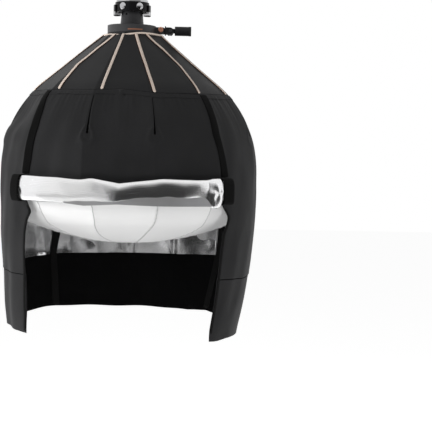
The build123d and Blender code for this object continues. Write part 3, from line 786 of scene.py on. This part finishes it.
# Even shares of the way from start to end and from top to bottom. Near a front corner the azimuth bends
# along with the window's edge.
def panelGrid(start, end, top, bottom, rows, columns, offset=0.0):
    share = np.linspace(0, 1, columns + 1)[None, :]
    drop = np.linspace(0, 1, rows + 1)[:, None]
    azimuth = start + (end - start) * share + 0 * drop
    height = top(azimuth) + (bottom(azimuth) - top(azimuth)) * drop
    bend = 0 * height
    for side in ("left", "right"):
        corner = corners["front" + side.title()]
        shift = windowEdge(side, height) - corner
        if abs(degreesFrom(corner, start)) < 1:
            bend = bend + shift * smooth(1 - share / 0.3)
        if abs(degreesFrom(corner, end)) < 1:
            bend = bend + shift * smooth((share - 0.7) / 0.3)
    points = clothPoint(azimuth + bend, height, offset)
    return points, panelThreads(azimuth + bend, points)


# A panel on one side, between two corners, in a CAD node's place
def makePanel(name, node, slot, lining, side, *shape):
    start, end = spans[side]
    grid = panelGrid(start + skirt["inset"], end - skirt["inset"], *shape)
    piece = surface(name + side.title(), [grid], [blackCloth, lining], cloth["thickness"], (1, 0))
    return standIn(piece, node + "_" + side), grid


def makeSkirt():
    made = {}
    top = fixed(cloth["hemHeight"] - skirt["gap"])
    for side in spans:
        shape = (lambda azimuth: seamLevel(azimuth) - skirt["overlap"], skirt["rows"], skirt["columns"])
        if side == "front":
            shape = (fixed(skirt["frontBottom"]), skirt["rows"], skirt["frontColumns"])
        made[side] = makePanel("skirt", "skirt", "skirt_cloth", silverLining, side, top, *shape)
        if side != "front":
            shape = (seamLevel, bottomLevel, skirt["bandRows"], skirt["columns"], skirt["bandOffset"])
            # the lower bands' inner face takes the darker nylon, painted shade
            made[side + "Band"] = makePanel("lowerBand", "skirt_band", "band_cloth", shadedBandLining, side, *shape)
    return made


panels = makeSkirt()
print("skirt panels hang")

# Painted shade in the darts: a narrow near-black strip down each dart groove, wider towards its pocket
dartShade = {"width": 0.0010, "widening": 0.0038, "from": 0.014, "past": 0.006, "low": 0.0001, "high": 0.0006}


def makeDartShadeStrips():
    grids = []
    dartEnd = folds["dart"]["end"]
    length = cloth["hemHeight"] - dartEnd
    for start, end, strength in folds["darts"]:
        def line(heights, start=start, end=end):
            return start + (end - start) * (cloth["hemHeight"] - heights) / length

        def width(heights, strength=strength):
            share = np.clip((cloth["hemHeight"] - heights) / length, 0, 1)
            return strength * (dartShade["width"] + dartShade["widening"] * share**3)

        grids.append(downBand(line, cloth["hemHeight"] - dartShade["from"], dartEnd - dartShade["past"], width,
                              dartShade["low"], dartShade["high"]))
    piece = surface("dartShadeStrips", grids, [paintedSeamShade])
    return piece


# Painted shade under the seam above the lower bands: a near-black line along its lower edge
def makeLowerSeamShade():
    def level(azimuth):
        return seamLevel(azimuth) - 0.0042

    piece = ringBand("lowerSeamShade", 45.6, 311.4, level, 0.0015, -0.0002, 0.0004, paintedSeamShade)
    return piece


dartShadeStrips = makeDartShadeStrips()
lowerSeamShade = makeLowerSeamShade()

# Trim on the skirt: hem band, corner strips, inner corner tapes and window bindings. low and high are how
# far a band's two faces stand off the cloth. The inner tapes lean by tables of degrees by height.
trim = {
    "low": 0.0003,
    "high": 0.0018,
    "hem": {"width": 0.0108, "low": 0.0002, "high": 0.0010, "below": 0.0065, "wave": 0.0007},
    "strip": {"width": 0.025, "raised": 0.0004},
    "binding": {"width": 0.008, "aside": 0.66},
    "tape": {"width": 0.024, "gap": 0.0004, "thickness": 0.0030},
    "leanHeights": (-0.797, -0.65, -0.636, -0.585, -0.46),
    "rearRight": (0, -2.6, -3.2, -3.2, -2.4),
    "rearLeft": (0, 0.4, 0.6, -1.1, -1.4),
}


def makeHem():
    hem = trim["hem"]

    def level(azimuth):
        return cloth["hemHeight"] - hem["below"] + hem["wave"] * np.sin(np.radians(azimuth) * 17)

    piece = ringBand("hemBand", 0, 360, level, hem["width"], hem["low"], hem["high"], blackCloth, 720)
    return standIn(piece, "skirt_hem_band")


def makeTrim():
    made = {"hem": makeHem()}
    strip, binding, tape = trim["strip"], trim["binding"], trim["tape"]
    low, high = trim["low"], trim["high"]
    foot = cloth["bottom"] + 0.004
    inner = -cloth["thickness"] - tape["gap"]
    for side in ("left", "right"):
        turn = binding["aside"] if side == "right" else -binding["aside"]

        def edge(heights, side=side):
            return windowEdge(side, heights)

        def beside(heights, side=side, turn=turn):
            return windowEdge(side, heights) + turn

        def lean(heights, rear="rear" + side.title()):
            return corners[rear] + np.interp(heights, trim["leanHeights"], trim[rear])

        rear = fixed(corners["rear" + side.title()])
        stripTop = cloth["hemHeight"] - 0.0015
        for end, line, bottom in (("front", edge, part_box("front_roll")[1].z + 0.003), ("rear", rear, foot)):
            name = end.title() + side.title()
            piece = makeDownBand("cornerStrip" + name, hookTape, line, stripTop, bottom, strip["width"], low,
                                 high + strip["raised"], rows=120, flat=0.25)
            made["strip" + name] = standIn(piece, "corner_strip_" + end + "_" + side)
        node = "corner_tape_rear_" + side
        piece = makeDownBand("innerTapeRear" + side.title(), edgeTape, lean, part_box(node)[1].z, foot,
                             tape["width"], inner - tape["thickness"], inner, rows=100, flat=0.25)
        made["innerTape" + side.title()] = standIn(piece, node)
        node = "window_binding_" + side
        piece = makeDownBand("windowBinding" + side.title(), edgeTape, beside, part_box(node)[1].z,
                             cloth["bottom"] + 0.003, binding["width"], low, high, rows=110)
        made["binding" + side.title()] = standIn(piece, node)
    return made


trims = makeTrim()
print("trim is sewn on")

# Globe: gores that follow the rods, then close in a cap of two arcs, tight at the side, wide below.
# warp gives the degrees by which the seams wander at the side and, lower down, near the pole.
globe = {
    "radius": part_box("globe_diffuser")[1].x,
    "equator": -0.438,
    "depth": 0.139,
    "side": 0.085,
    "top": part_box("globe_diffuser")[1].z,
    "thickness": 0.0009,
    "columns": 24,
    "pucker": {"rise": 0.0009, "width": 2.2},
    "flat": [(-0.577, 0.5), (-0.565, 1.0), (-0.43, 0.9), (-0.30, 0.8), (-0.171, 0.95)],
    "seam": {"width": 0.0024, "rise": 0.0009, "rounded": 0.0007, "thickness": 0.0008, "from": 30, "short": 3},
    "warp": {"places": [0, 12, 42, 72, 102, 282, 312, 342, 360],
             "wide": [3.0, 1.8, -2.3, -1, 0, 2, 7.8, 4.3, 3.0],
             "deep": [-0.6, -0.6, 4.5, 2, 0, 0, 1.6, -0.6, -0.6]},
}


# Points of the globe's side view from its top down to the pole, as radius and height
def globeOutline():
    inset = cloth["skirtRadius"] - globe["radius"]
    upper = np.linspace(globe["top"], globe["equator"], 44)
    slope = clothSlope(upper)
    radius = clothRadius(upper) - inset / np.hypot(1, slope)
    height = upper - inset * slope / np.hypot(1, slope)
    middle = globe["radius"] - globe["side"]
    wide = (middle**2 + globe["depth"] ** 2 - globe["side"] ** 2) / (2 * (globe["depth"] - globe["side"]))
    turn = math.asin(middle / (wide - globe["side"]))
    angle = np.linspace(0, math.pi / 2 - turn, 26)[1:]
    radius = np.append(radius, middle + globe["side"] * np.cos(angle))
    height = np.append(height, globe["equator"] - globe["side"] * np.sin(angle))
    angle = np.linspace(turn, 0, 40)[1:]
    radius = np.append(radius, wide * np.sin(angle))
    height = np.append(height, globe["equator"] - globe["depth"] + wide - wide * np.cos(angle))
    return radius, height


# Seams don't keep to their ribs below the widest ring: each wanders by its own angle
def globeWarp(azimuth, height):
    warp = globe["warp"]
    wide, deep = (np.interp(azimuth % 360, warp["places"], warp[key]) for key in ("wide", "deep"))
    share = smooth((-0.49 - height) / 0.075)
    return smooth((-0.40 - height) / 0.07) * (wide + (deep - wide) * share)


# A globe point: the outline turned round the axis, drawn to a chord between seams, puckered beside them,
# and moved along the outline's normal by an offset
def globePoint(row, azimuth, offset=0.0):
    radius, height = globeOutline()
    pucker = globe["pucker"]
    chord, fromMiddle = goreChord(azimuth)
    ring = radius[row] * (1 + read(globe["flat"], height)[row] * (chord - 1))
    runR, runZ = np.gradient(radius)[row], np.gradient(height)[row]
    length = np.hypot(runR, runZ)
    nearSeam = hill(np.abs(fromMiddle), goreAngle / 2, pucker["width"])
    move = offset + pucker["rise"] * nearSeam * np.sin(row * 1.9 + azimuth) * smooth(ring / 0.08)
    turn = np.radians(azimuth + globeWarp(azimuth, height[row]))
    return onRing(ring - move * runZ / length, turn, height[row] + move * runR / length)


def makeGlobe():
    row = np.arange(len(globeOutline()[0]))[:, None]
    grids = []
    for rib in ribs:
        azimuth = np.linspace(rib, rib + goreAngle, globe["columns"] + 1)[None, :] + 0 * row
        points = globePoint(row + 0 * azimuth.astype(int), azimuth)
        grids.append((points, panelThreads(azimuth, points)))
    piece = surface("globeCloth", grids, [diffuserCloth], globe["thickness"])
    return standIn(piece, "globe_diffuser")


# Seams: a narrow raised welt down each line where two gores meet, lower towards its sides
def makeGlobeSeams():
    radius, height = globeOutline()
    seam = globe["seam"]
    row = np.arange(seam["from"], len(radius) - seam["short"])[:, None]
    across = np.array([-1.0, -0.6, 0.0, 0.6, 1.0])[None, :]
    grids = []
    for rib in ribs:
        azimuth = rib + np.degrees(across * seam["width"] / 2 / radius[row])
        rise = seam["rise"] - seam["rounded"] * across**4
        points = globePoint(row + 0 * across.astype(int), azimuth, rise + 0 * azimuth)
        grids.append((points, np.stack([across * seam["width"] + 0 * row, -row * 0.01 + 0 * across], -1)))
    look = tapeLook("globeSeam", grey(0.66), grey(0.50), 0.0014)
    piece = surface("globeSeams", grids, [look], seam["thickness"])
    return piece


globePiece = makeGlobe()
globeSeams = makeGlobeSeams()
print("globe is stretched on its rods")

# Rolled front flap: a flattened roll along the front. top and bottom give its heights by azimuth.
roll = {
    "start": -50.6,
    "end": 46.2,
    "radius": 0.3624,
    "half": 0.0112,
    "outPower": 0.85,
    "upPower": 0.92,
    "top": [(-50.6, -0.3925), (-43.7, -0.3905), (-27.4, -0.392), (-17.0, -0.3955), (-12.7, -0.391),
            (-8.0, -0.396), (-2.1, -0.4025), (5.0, -0.397), (14.2, -0.391), (29.0, -0.3935),
            (40.0, -0.391), (46.2, -0.3945)],
    "bottom": [(-50.6, -0.4515), (-46.0, -0.4515), (-45.0, -0.4535), (-24.0, -0.4535), (-3.0, -0.4500),
               (-0.5, -0.4460), (8.0, -0.4410), (30.0, -0.4400), (33.2, -0.4450), (35.5, -0.4600),
               (38.5, -0.4630), (40.0, -0.4590), (40.8, -0.4520), (46.2, -0.4520)],
    "facet": {"rise": 0.0014, "size": 0.16, "seed": 31},
    "ripple": {"rise": 0.0006, "size": 0.09, "seed": 33},
    "pinch": {"azimuth": -2.1, "rise": -0.0016, "width": 0.5},
    "tilt": {"azimuth": 16, "rise": 0.0022, "width": 15},
    "tuck": {"azimuth": 36.6, "height": -0.425, "rise": 0.0060, "petal": 0.0012, "petals": 4, "end": 41.0},
    "dents": [(-45.5, -0.432, -0.0022, 1.2, 0.012), (-47.0, -0.402, -0.0022, 1.4, 0.008)],
    # The wound ends: shares of the section and the degrees that each step goes in
    "winding": [(1.0, 0), (0.93, 0), (0.92, 0.35), (0.72, 0.35), (0.71, 0.1), (0.5, 0.1), (0.49, 0.5),
                (0.25, 0.5), (0.0, 0.4)],
}


def rollHeight(edge, azimuth):
    return sum(read(roll[edge], azimuth + step) for step in (-0.8, 0, 0.8)) / 3


# The tuck near the right end: a raised fan of petals round a middle, behind a lip that curves away from it
def tuckRise(azimuth, along, height):
    tuck = roll["tuck"]
    fromTuck = along - np.radians(tuck["azimuth"] + 1.4) * roll["radius"]
    spread = np.hypot(fromTuck, height - tuck["height"])
    angle = np.arctan2(height - tuck["height"], fromTuck)
    lip = tuck["azimuth"] - 2.2 + 55 * np.abs(height + 0.428) ** 1.2
    fan = tuck["petal"] * np.sin(tuck["petals"] * angle + 0.6) * smooth(spread / 0.016)
    onTuck = smooth((azimuth - tuck["azimuth"] + 4.0) / 2.0) * smooth((tuck["end"] - azimuth) / 1.6)
    return (tuck["rise"] * smooth((azimuth - lip + 1.6) / 3.0) + fan) * onTuck


# Section of the roll at an azimuth: a superellipse between the top and bottom heights, moved out by a few
# broad facets, ripples, a pinch, two dents near the left strap and the tuck
def rollPoint(azimuth, turn, scale=1.0):
    along = np.radians(azimuth) * roll["radius"]
    high, low = rollHeight("top", azimuth), rollHeight("bottom", azimuth)
    out = pressed(np.cos(turn), roll["outPower"])
    up = pressed(np.sin(turn), roll["upPower"])
    height = (high + low) / 2 + (high - low) / 2 * up * scale
    facet, ripple, pinch, tilt = (roll[key] for key in ("facet", "ripple", "pinch", "tilt"))
    move = facet["rise"] * creases(along, height * 0.6, facet["seed"], facet["size"], 3)
    move += ripple["rise"] * ripples(along, height, ripple["seed"], ripple["size"], 4)
    move += tilt["rise"] * hill(azimuth, tilt["azimuth"], tilt["width"]) * up
    move += pinch["rise"] * hill(azimuth, pinch["azimuth"], pinch["width"]) * np.abs(up) ** 3
    move += tuckRise(azimuth, along, height) + spots(azimuth, height, roll["dents"])
    move *= smooth((azimuth - roll["start"]) / 2) * smooth((roll["end"] - azimuth) / 2) * scale
    radius = roll["radius"] + roll["half"] * out * scale + move * out
    return onRing(radius, np.radians(azimuth), height + move * up * 0.4)


# The roll is its section carried from end to end, closed by the steps of its winding
def makeRoll():
    azimuth = np.linspace(roll["start"], roll["end"], 361)[None, :]
    turn = np.linspace(math.pi / 2, -1.5 * math.pi, 89)[:, None]
    points = rollPoint(azimuth, turn)
    around = np.radians(azimuth) * roll["radius"] + 0 * turn
    grids = [(points, np.stack([around, -lengthDown(points)], -1))]
    for edge, inward in ((roll["start"], 1), (roll["end"], -1)):
        rings = [rollPoint(edge + inward * deep + 0 * turn, turn, share)[:, 0]
                 for share, deep in roll["winding"]]
        cap = np.stack(rings[::-inward], 1)
        grids.append((cap, cap[..., [0, 2]], 1))
    piece = surface("frontRoll", grids, [silverRoll, blackCloth])
    return standIn(piece, "front_roll")


# The flap's free edge hangs as a flat strip below the main turns: narrow on the left, wide on the right. Its
# darker silver is painted shade under the turns.
freeEdge = {
    "start": -25.0,
    "end": 38.5,
    "top": [(-25, -0.440), (-3, -0.440), (-1, -0.428), (25, -0.429), (38.5, -0.434)],
    "bottom": [(-25, -0.4535), (-15.5, -0.4590), (-3, -0.4540), (13.4, -0.4575), (31.5, -0.4590),
               (38.5, -0.4600)],
    "half": 0.0020,
    "off": 0.0045,
    "wave": {"rise": 0.0006, "size": 0.08, "seed": 41},
}


# A flattened ring carried along the roll, which closes at both ends
def makeRollEdge():
    azimuth = np.linspace(freeEdge["start"], freeEdge["end"], 220)[None, :]
    turn = np.linspace(0, 2 * math.pi, 25)[:, None]
    ends = smooth((azimuth - freeEdge["start"]) / 1.5) * smooth((freeEdge["end"] - azimuth) / 1.0)
    high, low = read(freeEdge["top"], azimuth), read(freeEdge["bottom"], azimuth)
    height = (high + low) / 2 + (high - low) / 2 * pressed(np.sin(turn), 0.8) * ends
    wave = freeEdge["wave"]
    out = wave["rise"] * ripples(np.radians(azimuth) * roll["radius"], 0, wave["seed"], wave["size"], 4)
    out = (out + freeEdge["half"] * pressed(np.cos(turn), 0.6)) * ends
    around = np.radians(azimuth) + 0 * turn
    radius = roll["radius"] + freeEdge["off"] + out
    points = onRing(radius, around, height)
    uv = np.stack([around * radius, height], -1)
    piece = surface("rollEdge", [(points[::-1], uv[::-1])], [shadedSilverEdge])
    return piece


rollPiece = makeRoll()
rollEdge = makeRollEdge()

# Straps: flat web loops round the roll and the skirt's edge. half is from the loop's middle to its web.
strap = {
    "thickness": 0.0018,
    "radius": 0.3624,
    "raised": 0.0085,
    "half": 0.0132,
    "wave": 0.0007,
    "left": {"azimuth": corners["frontLeft"] - 0.5, "width": 0.031, "lean": 0.15},
    "right": {"azimuth": corners["frontRight"] + 1.7, "width": 0.037, "lean": -0.15},
}


# The web's section, a flat ring, is carried round a rounded upright loop that leans a little
def makeStrap(side):
    own = strap[side]
    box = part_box("roll_strap_" + side)
    low = box[0].z + strap["raised"]
    middle = (low + box[1].z) / 2
    tall = (box[1].z - low) / 2 - strap["thickness"] / 2
    turn = np.linspace(0, 2 * math.pi, 73)[None, :]
    ring = np.linspace(0, -2 * math.pi, 17)[:, None]
    across = pressed(np.cos(ring), 0.3) * own["width"] / 2
    out = pressed(np.sin(ring), 0.5) * strap["thickness"] / 2
    wave = strap["wave"] * np.sin(4 * turn + own["azimuth"])
    radius = strap["radius"] + (strap["half"] + out + wave) * pressed(np.cos(turn), 0.55)
    height = middle + (tall + out) * pressed(np.sin(turn), 0.7)
    around = np.radians(own["azimuth"]) + across / strap["radius"] + own["lean"] * (height - middle)
    uv = np.stack([across + 0 * turn, turn * 0.02 + 0 * across], -1)
    piece = surface("rollStrap" + side.title(), [(onRing(radius, around, height), uv)], [strapWeb])
    return standIn(piece, "roll_strap_" + side)


straps = {side: makeStrap(side) for side in ("left", "right")}
print("flap is rolled and strapped")

# Every sheet's flat size. A panel's is the cut's width at its widest and its
# length down the cloth. The roll's edge and the straps are closed shapes: one face is half their area.
for key, (piece, (points, _)) in panels.items():
    width = np.linalg.norm(np.diff(points, axis=1), axis=2).sum(1).max()
    length = lengthDown(points).max()
    area = min(areaOf(piece), width * length)
areaOf(domePiece)
areaOf(globePiece)
webs = [(rollEdge, 0.027, "hung")] + [(straps[side], strap[side]["width"], "stretched") for side in straps]
for piece, width, held in webs:
    areaOf(piece) / 2 / width

# Metal and plastic: each CAD node keeps its shape and takes its slot's finish
hard = {
    "hub_black": hardLook("hubCoat", (0.040, 0.040, 0.042), 0.42, grain=0.35),
    "neck_black": hardLook("neckCoat", (0.026, 0.026, 0.028), 0.38, grain=0.3),
    "collar_black": hardLook("collarGloss", (0.004, 0.004, 0.0044), 0.22, grain=0.05, shine=0.12),
    "chrome": hardLook("chromePlate", (0.50, 0.50, 0.51), 0.12, metallic=1.0, grain=0.04),
    "steel_screws": hardLook("machinedSteel", grey(0.52), 0.28, metallic=1.0, grain=0.2,
                             brushed=(1, 1, 0.05)),
    "clamp_hardware": hardLook("blackenedSteel", (0.15, 0.15, 0.155), 0.33, metallic=0.9, grain=0.2),
    "bracket_black": hardLook("bracketCoat", (0.016, 0.016, 0.017), 0.42, grain=0.3, shine=0.15),
    "rim_black": hardLook("rubberRim", grey(0.018), 0.75, grain=0.5, scale=500),
    "knob_black": hardLook("mouldedKnob", grey(0.018), 0.5, grain=0.5, scale=1400),
    "liner": hardLook("plasticLiner", grey(0.035), 0.55, grain=0.2),
    "rods": hardLook("glassFibre", grey(0.045), 0.45, grain=0.4, brushed=(1, 1, 0.04)),
}
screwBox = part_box("clamp_screw")
screwCentre = (screwBox[0] + screwBox[1]) / 2
copper = knurledLook(screwCentre, (screwBox[1].x - screwBox[0].x) / 2, (0.62, 0.30, 0.20))
slots = {part["node"]: part["material_slot"] for part in frame["record"]["subparts"]}


# A plain copper bar printed on the ring's front
bar = {"from": -0.009, "to": 0.030, "level": -0.0031, "half": 0.0018, "colour": (0.26, 0.115, 0.07)}


# 1 between two places along X, near one height and on the front, and 0 elsewhere
def printBar(look):
    place = look.place()
    x, y, z = (look.part(place, axis) for axis in (0, 1, 2))
    inside = (x > bar["from"]) * (x < bar["to"]) * ((z - bar["level"]).size() < bar["half"]) * (y < 0.0)
    plain = look.shader.inputs["Base Color"].links[0].from_socket
    look.give(baseColor=look.blend(inside, Wire(look, plain), bar["colour"]))
    return look


ringLook = printBar(hardLook("ringCoat", (0.042, 0.042, 0.044), 0.36, grain=0.35))
special = {"ring_clamp": ringLook, "neck_set_screws": hard["collar_black"], "tilt_bolt": hard["neck_black"]}
for name, node in frame["nodes"].items():
    if node.hide_render:
        continue
    slot = slots[name]
    look = copper if slot == "copper" else hard[slot].material
    if name in special:
        look = special[name].material
    if not node.material_slots:
        node.data.materials.append(look)
    for place in node.material_slots:
        place.material = look
print("metal parts have their finishes")

# Stage: a pale floor, a white world for what the camera and glossy rays see, and soft lamps
stage = {
    "floorDrop": 0.95,
    "floorSize": 30.0,
    "floorColour": grey(0.80),
    "floorGlow": 0.72,
    "worldFill": 0.31,
}


def makeFloor():
    half = stage["floorSize"] / 2
    level = cadBox[0].z - stage["floorDrop"]
    mesh = bpy.data.meshes.new("floor")
    mesh.from_pydata([(x, y, level) for x, y in ((-half, -half), (half, -half), (half, half), (-half, half))],
                     [], [(0, 1, 2, 3)])
    look = Look("paleFloor", baseColor=stage["floorColour"], roughness=0.9, specularIorLevel=0.0)
    glow = look.blend(look.seen(), grey(0.0), grey(1.0))
    look.give(emissionColor=glow, emissionStrength=stage["floorGlow"])
    mesh.materials.append(look.material)
    placeMesh("floor", mesh)


def makeWorld():
    world = bpy.data.worlds.new("studio")
    bpy.context.scene.world = world
    world.use_nodes = True
    sky = Nodes(world.node_tree)
    level = sky.seen() * (1 - stage["worldFill"]) + stage["worldFill"]
    light = sky.node("ShaderNodeBackground", inputs={"Color": (1, 1, 1, 1), "Strength": level})
    sky.node("ShaderNodeOutputWorld", inputs={0: light})


# Lamps: place, size in metres and the light level that each gives a white wall at the object
lamps = {
    "key": {"place": (-2.2, -1.9, 0.5), "size": 1.1, "level": 0.152},
    "left": {"place": (-3.0, -0.4, 0.0), "size": 1.5, "level": 0.65},
    "lowLeft": {"place": (-1.7, -2.0, -1.4), "size": 0.8, "level": 0.14},
    "lowRight": {"place": (1.2, -2.4, -1.3), "size": 1.0, "level": 0.23},
    "right": {"place": (2.3, -1.9, 0.6), "size": 1.4, "level": 0.10},
    "back": {"place": (-0.6, 2.8, 0.8), "size": 1.6, "level": 0.20},
}

# Dark cards that only shiny surfaces see: arcs round the object, from one azimuth to another, that may draw
# in to foot at their low end and fade over soft at their high one. share is how dense a card is.
cards = {
    "rightCard": {"from": -20.0, "to": 63.0, "low": -0.66, "foot": 2.4, "high": 0.5, "soft": 1.3},
    "footCard": {"from": -18.0, "to": 63.0, "low": -1.70, "foot": 0.5, "high": -0.66, "soft": 0.01},
    "leftCard": {"from": -46.0, "to": -20.0, "low": -0.9, "foot": 2.4, "high": 0.9, "soft": 1.7,
                 "share": 0.24},
    "leftFoot": {"from": -80.0, "to": -18.0, "low": -1.70, "foot": 0.5, "high": -0.90, "soft": 0.01,
                 "share": 0.40},
    "rearCard": {"from": 150.0, "to": 215.0, "low": -0.60, "foot": 2.4, "high": 0.30, "soft": 0.3},
}


def makeCards(reach=2.4, columns=25):
    for name, card in cards.items():
        top = card["high"] + card["soft"] / 2
        turn = np.radians(np.linspace(card["from"], card["to"], columns))[None, :]
        points = onRing(np.array([[reach], [card["foot"]]]), turn, np.array([[top], [card["low"]]]))
        mesh = bpy.data.meshes.new(name)
        mesh.from_pydata(points.reshape(-1, 3).tolist(), [], gridFaces(2, columns).tolist())
        look = Look(name, baseColor=grey(0.02), roughness=1.0, specularIorLevel=0.0)
        drop = top - look.part(look.place(), 2)
        look.give(alpha=look.math("MINIMUM", drop * (1 / card["soft"]), 1.0) * card.get("share", 1.0))
        mesh.materials.append(look.material)
        piece = placeMesh(name, mesh)
        for ray in ("camera", "diffuse", "transmission", "shadow", "volume_scatter"):
            setattr(piece, "visible_" + ray, False)


def makeLamps():
    aim = (cadBox[0] + cadBox[1]) / 2
    for name, lamp in lamps.items():
        data = bpy.data.lights.new(name, "AREA")
        data.shape = "DISK"
        data.size = lamp["size"]
        place = Vector(lamp["place"])
        data.energy = math.pi**2 * (place - aim).length ** 2 * lamp["level"]
        light = bpy.data.objects.new(name, data)
        light.location = place
        light.visible_glossy = False
        light.rotation_euler = (aim - place).to_track_quat("-Z", "Y").to_euler()
        bpy.context.scene.collection.objects.link(light)


camera = {"place": (0.1034, -2.9784, -0.2978), "yaw": 2.606, "pitch": -3.932, "roll": 1.152, "lens": 90.15}


# The camera looks along +Y, turned right by yaw, up by pitch, and rolled about its own line of sight
def makeCamera():
    yaw, pitch, tilt = (math.radians(camera[key]) for key in ("yaw", "pitch", "roll"))
    ahead = Vector((math.sin(yaw) * math.cos(pitch), math.cos(yaw) * math.cos(pitch), math.sin(pitch)))
    right = Vector((math.cos(yaw), -math.sin(yaw), 0))
    up = right.cross(ahead)
    right, up = math.cos(tilt) * right + math.sin(tilt) * up, math.cos(tilt) * up - math.sin(tilt) * right
    data = bpy.data.cameras.new("camera")
    data.lens = camera["lens"]
    eye = bpy.data.objects.new("camera", data)
    turn = Matrix((right, up, -ahead)).transposed().to_4x4()
    eye.matrix_world = Matrix.Translation(camera["place"]) @ turn
    bpy.context.scene.collection.objects.link(eye)
    bpy.context.scene.camera = eye


for make in (makeFloor, makeWorld, makeLamps, makeCards, makeCamera):
    make()
bpy.context.scene.view_settings.view_transform = "Standard"
print("stage, lamps and camera are set")
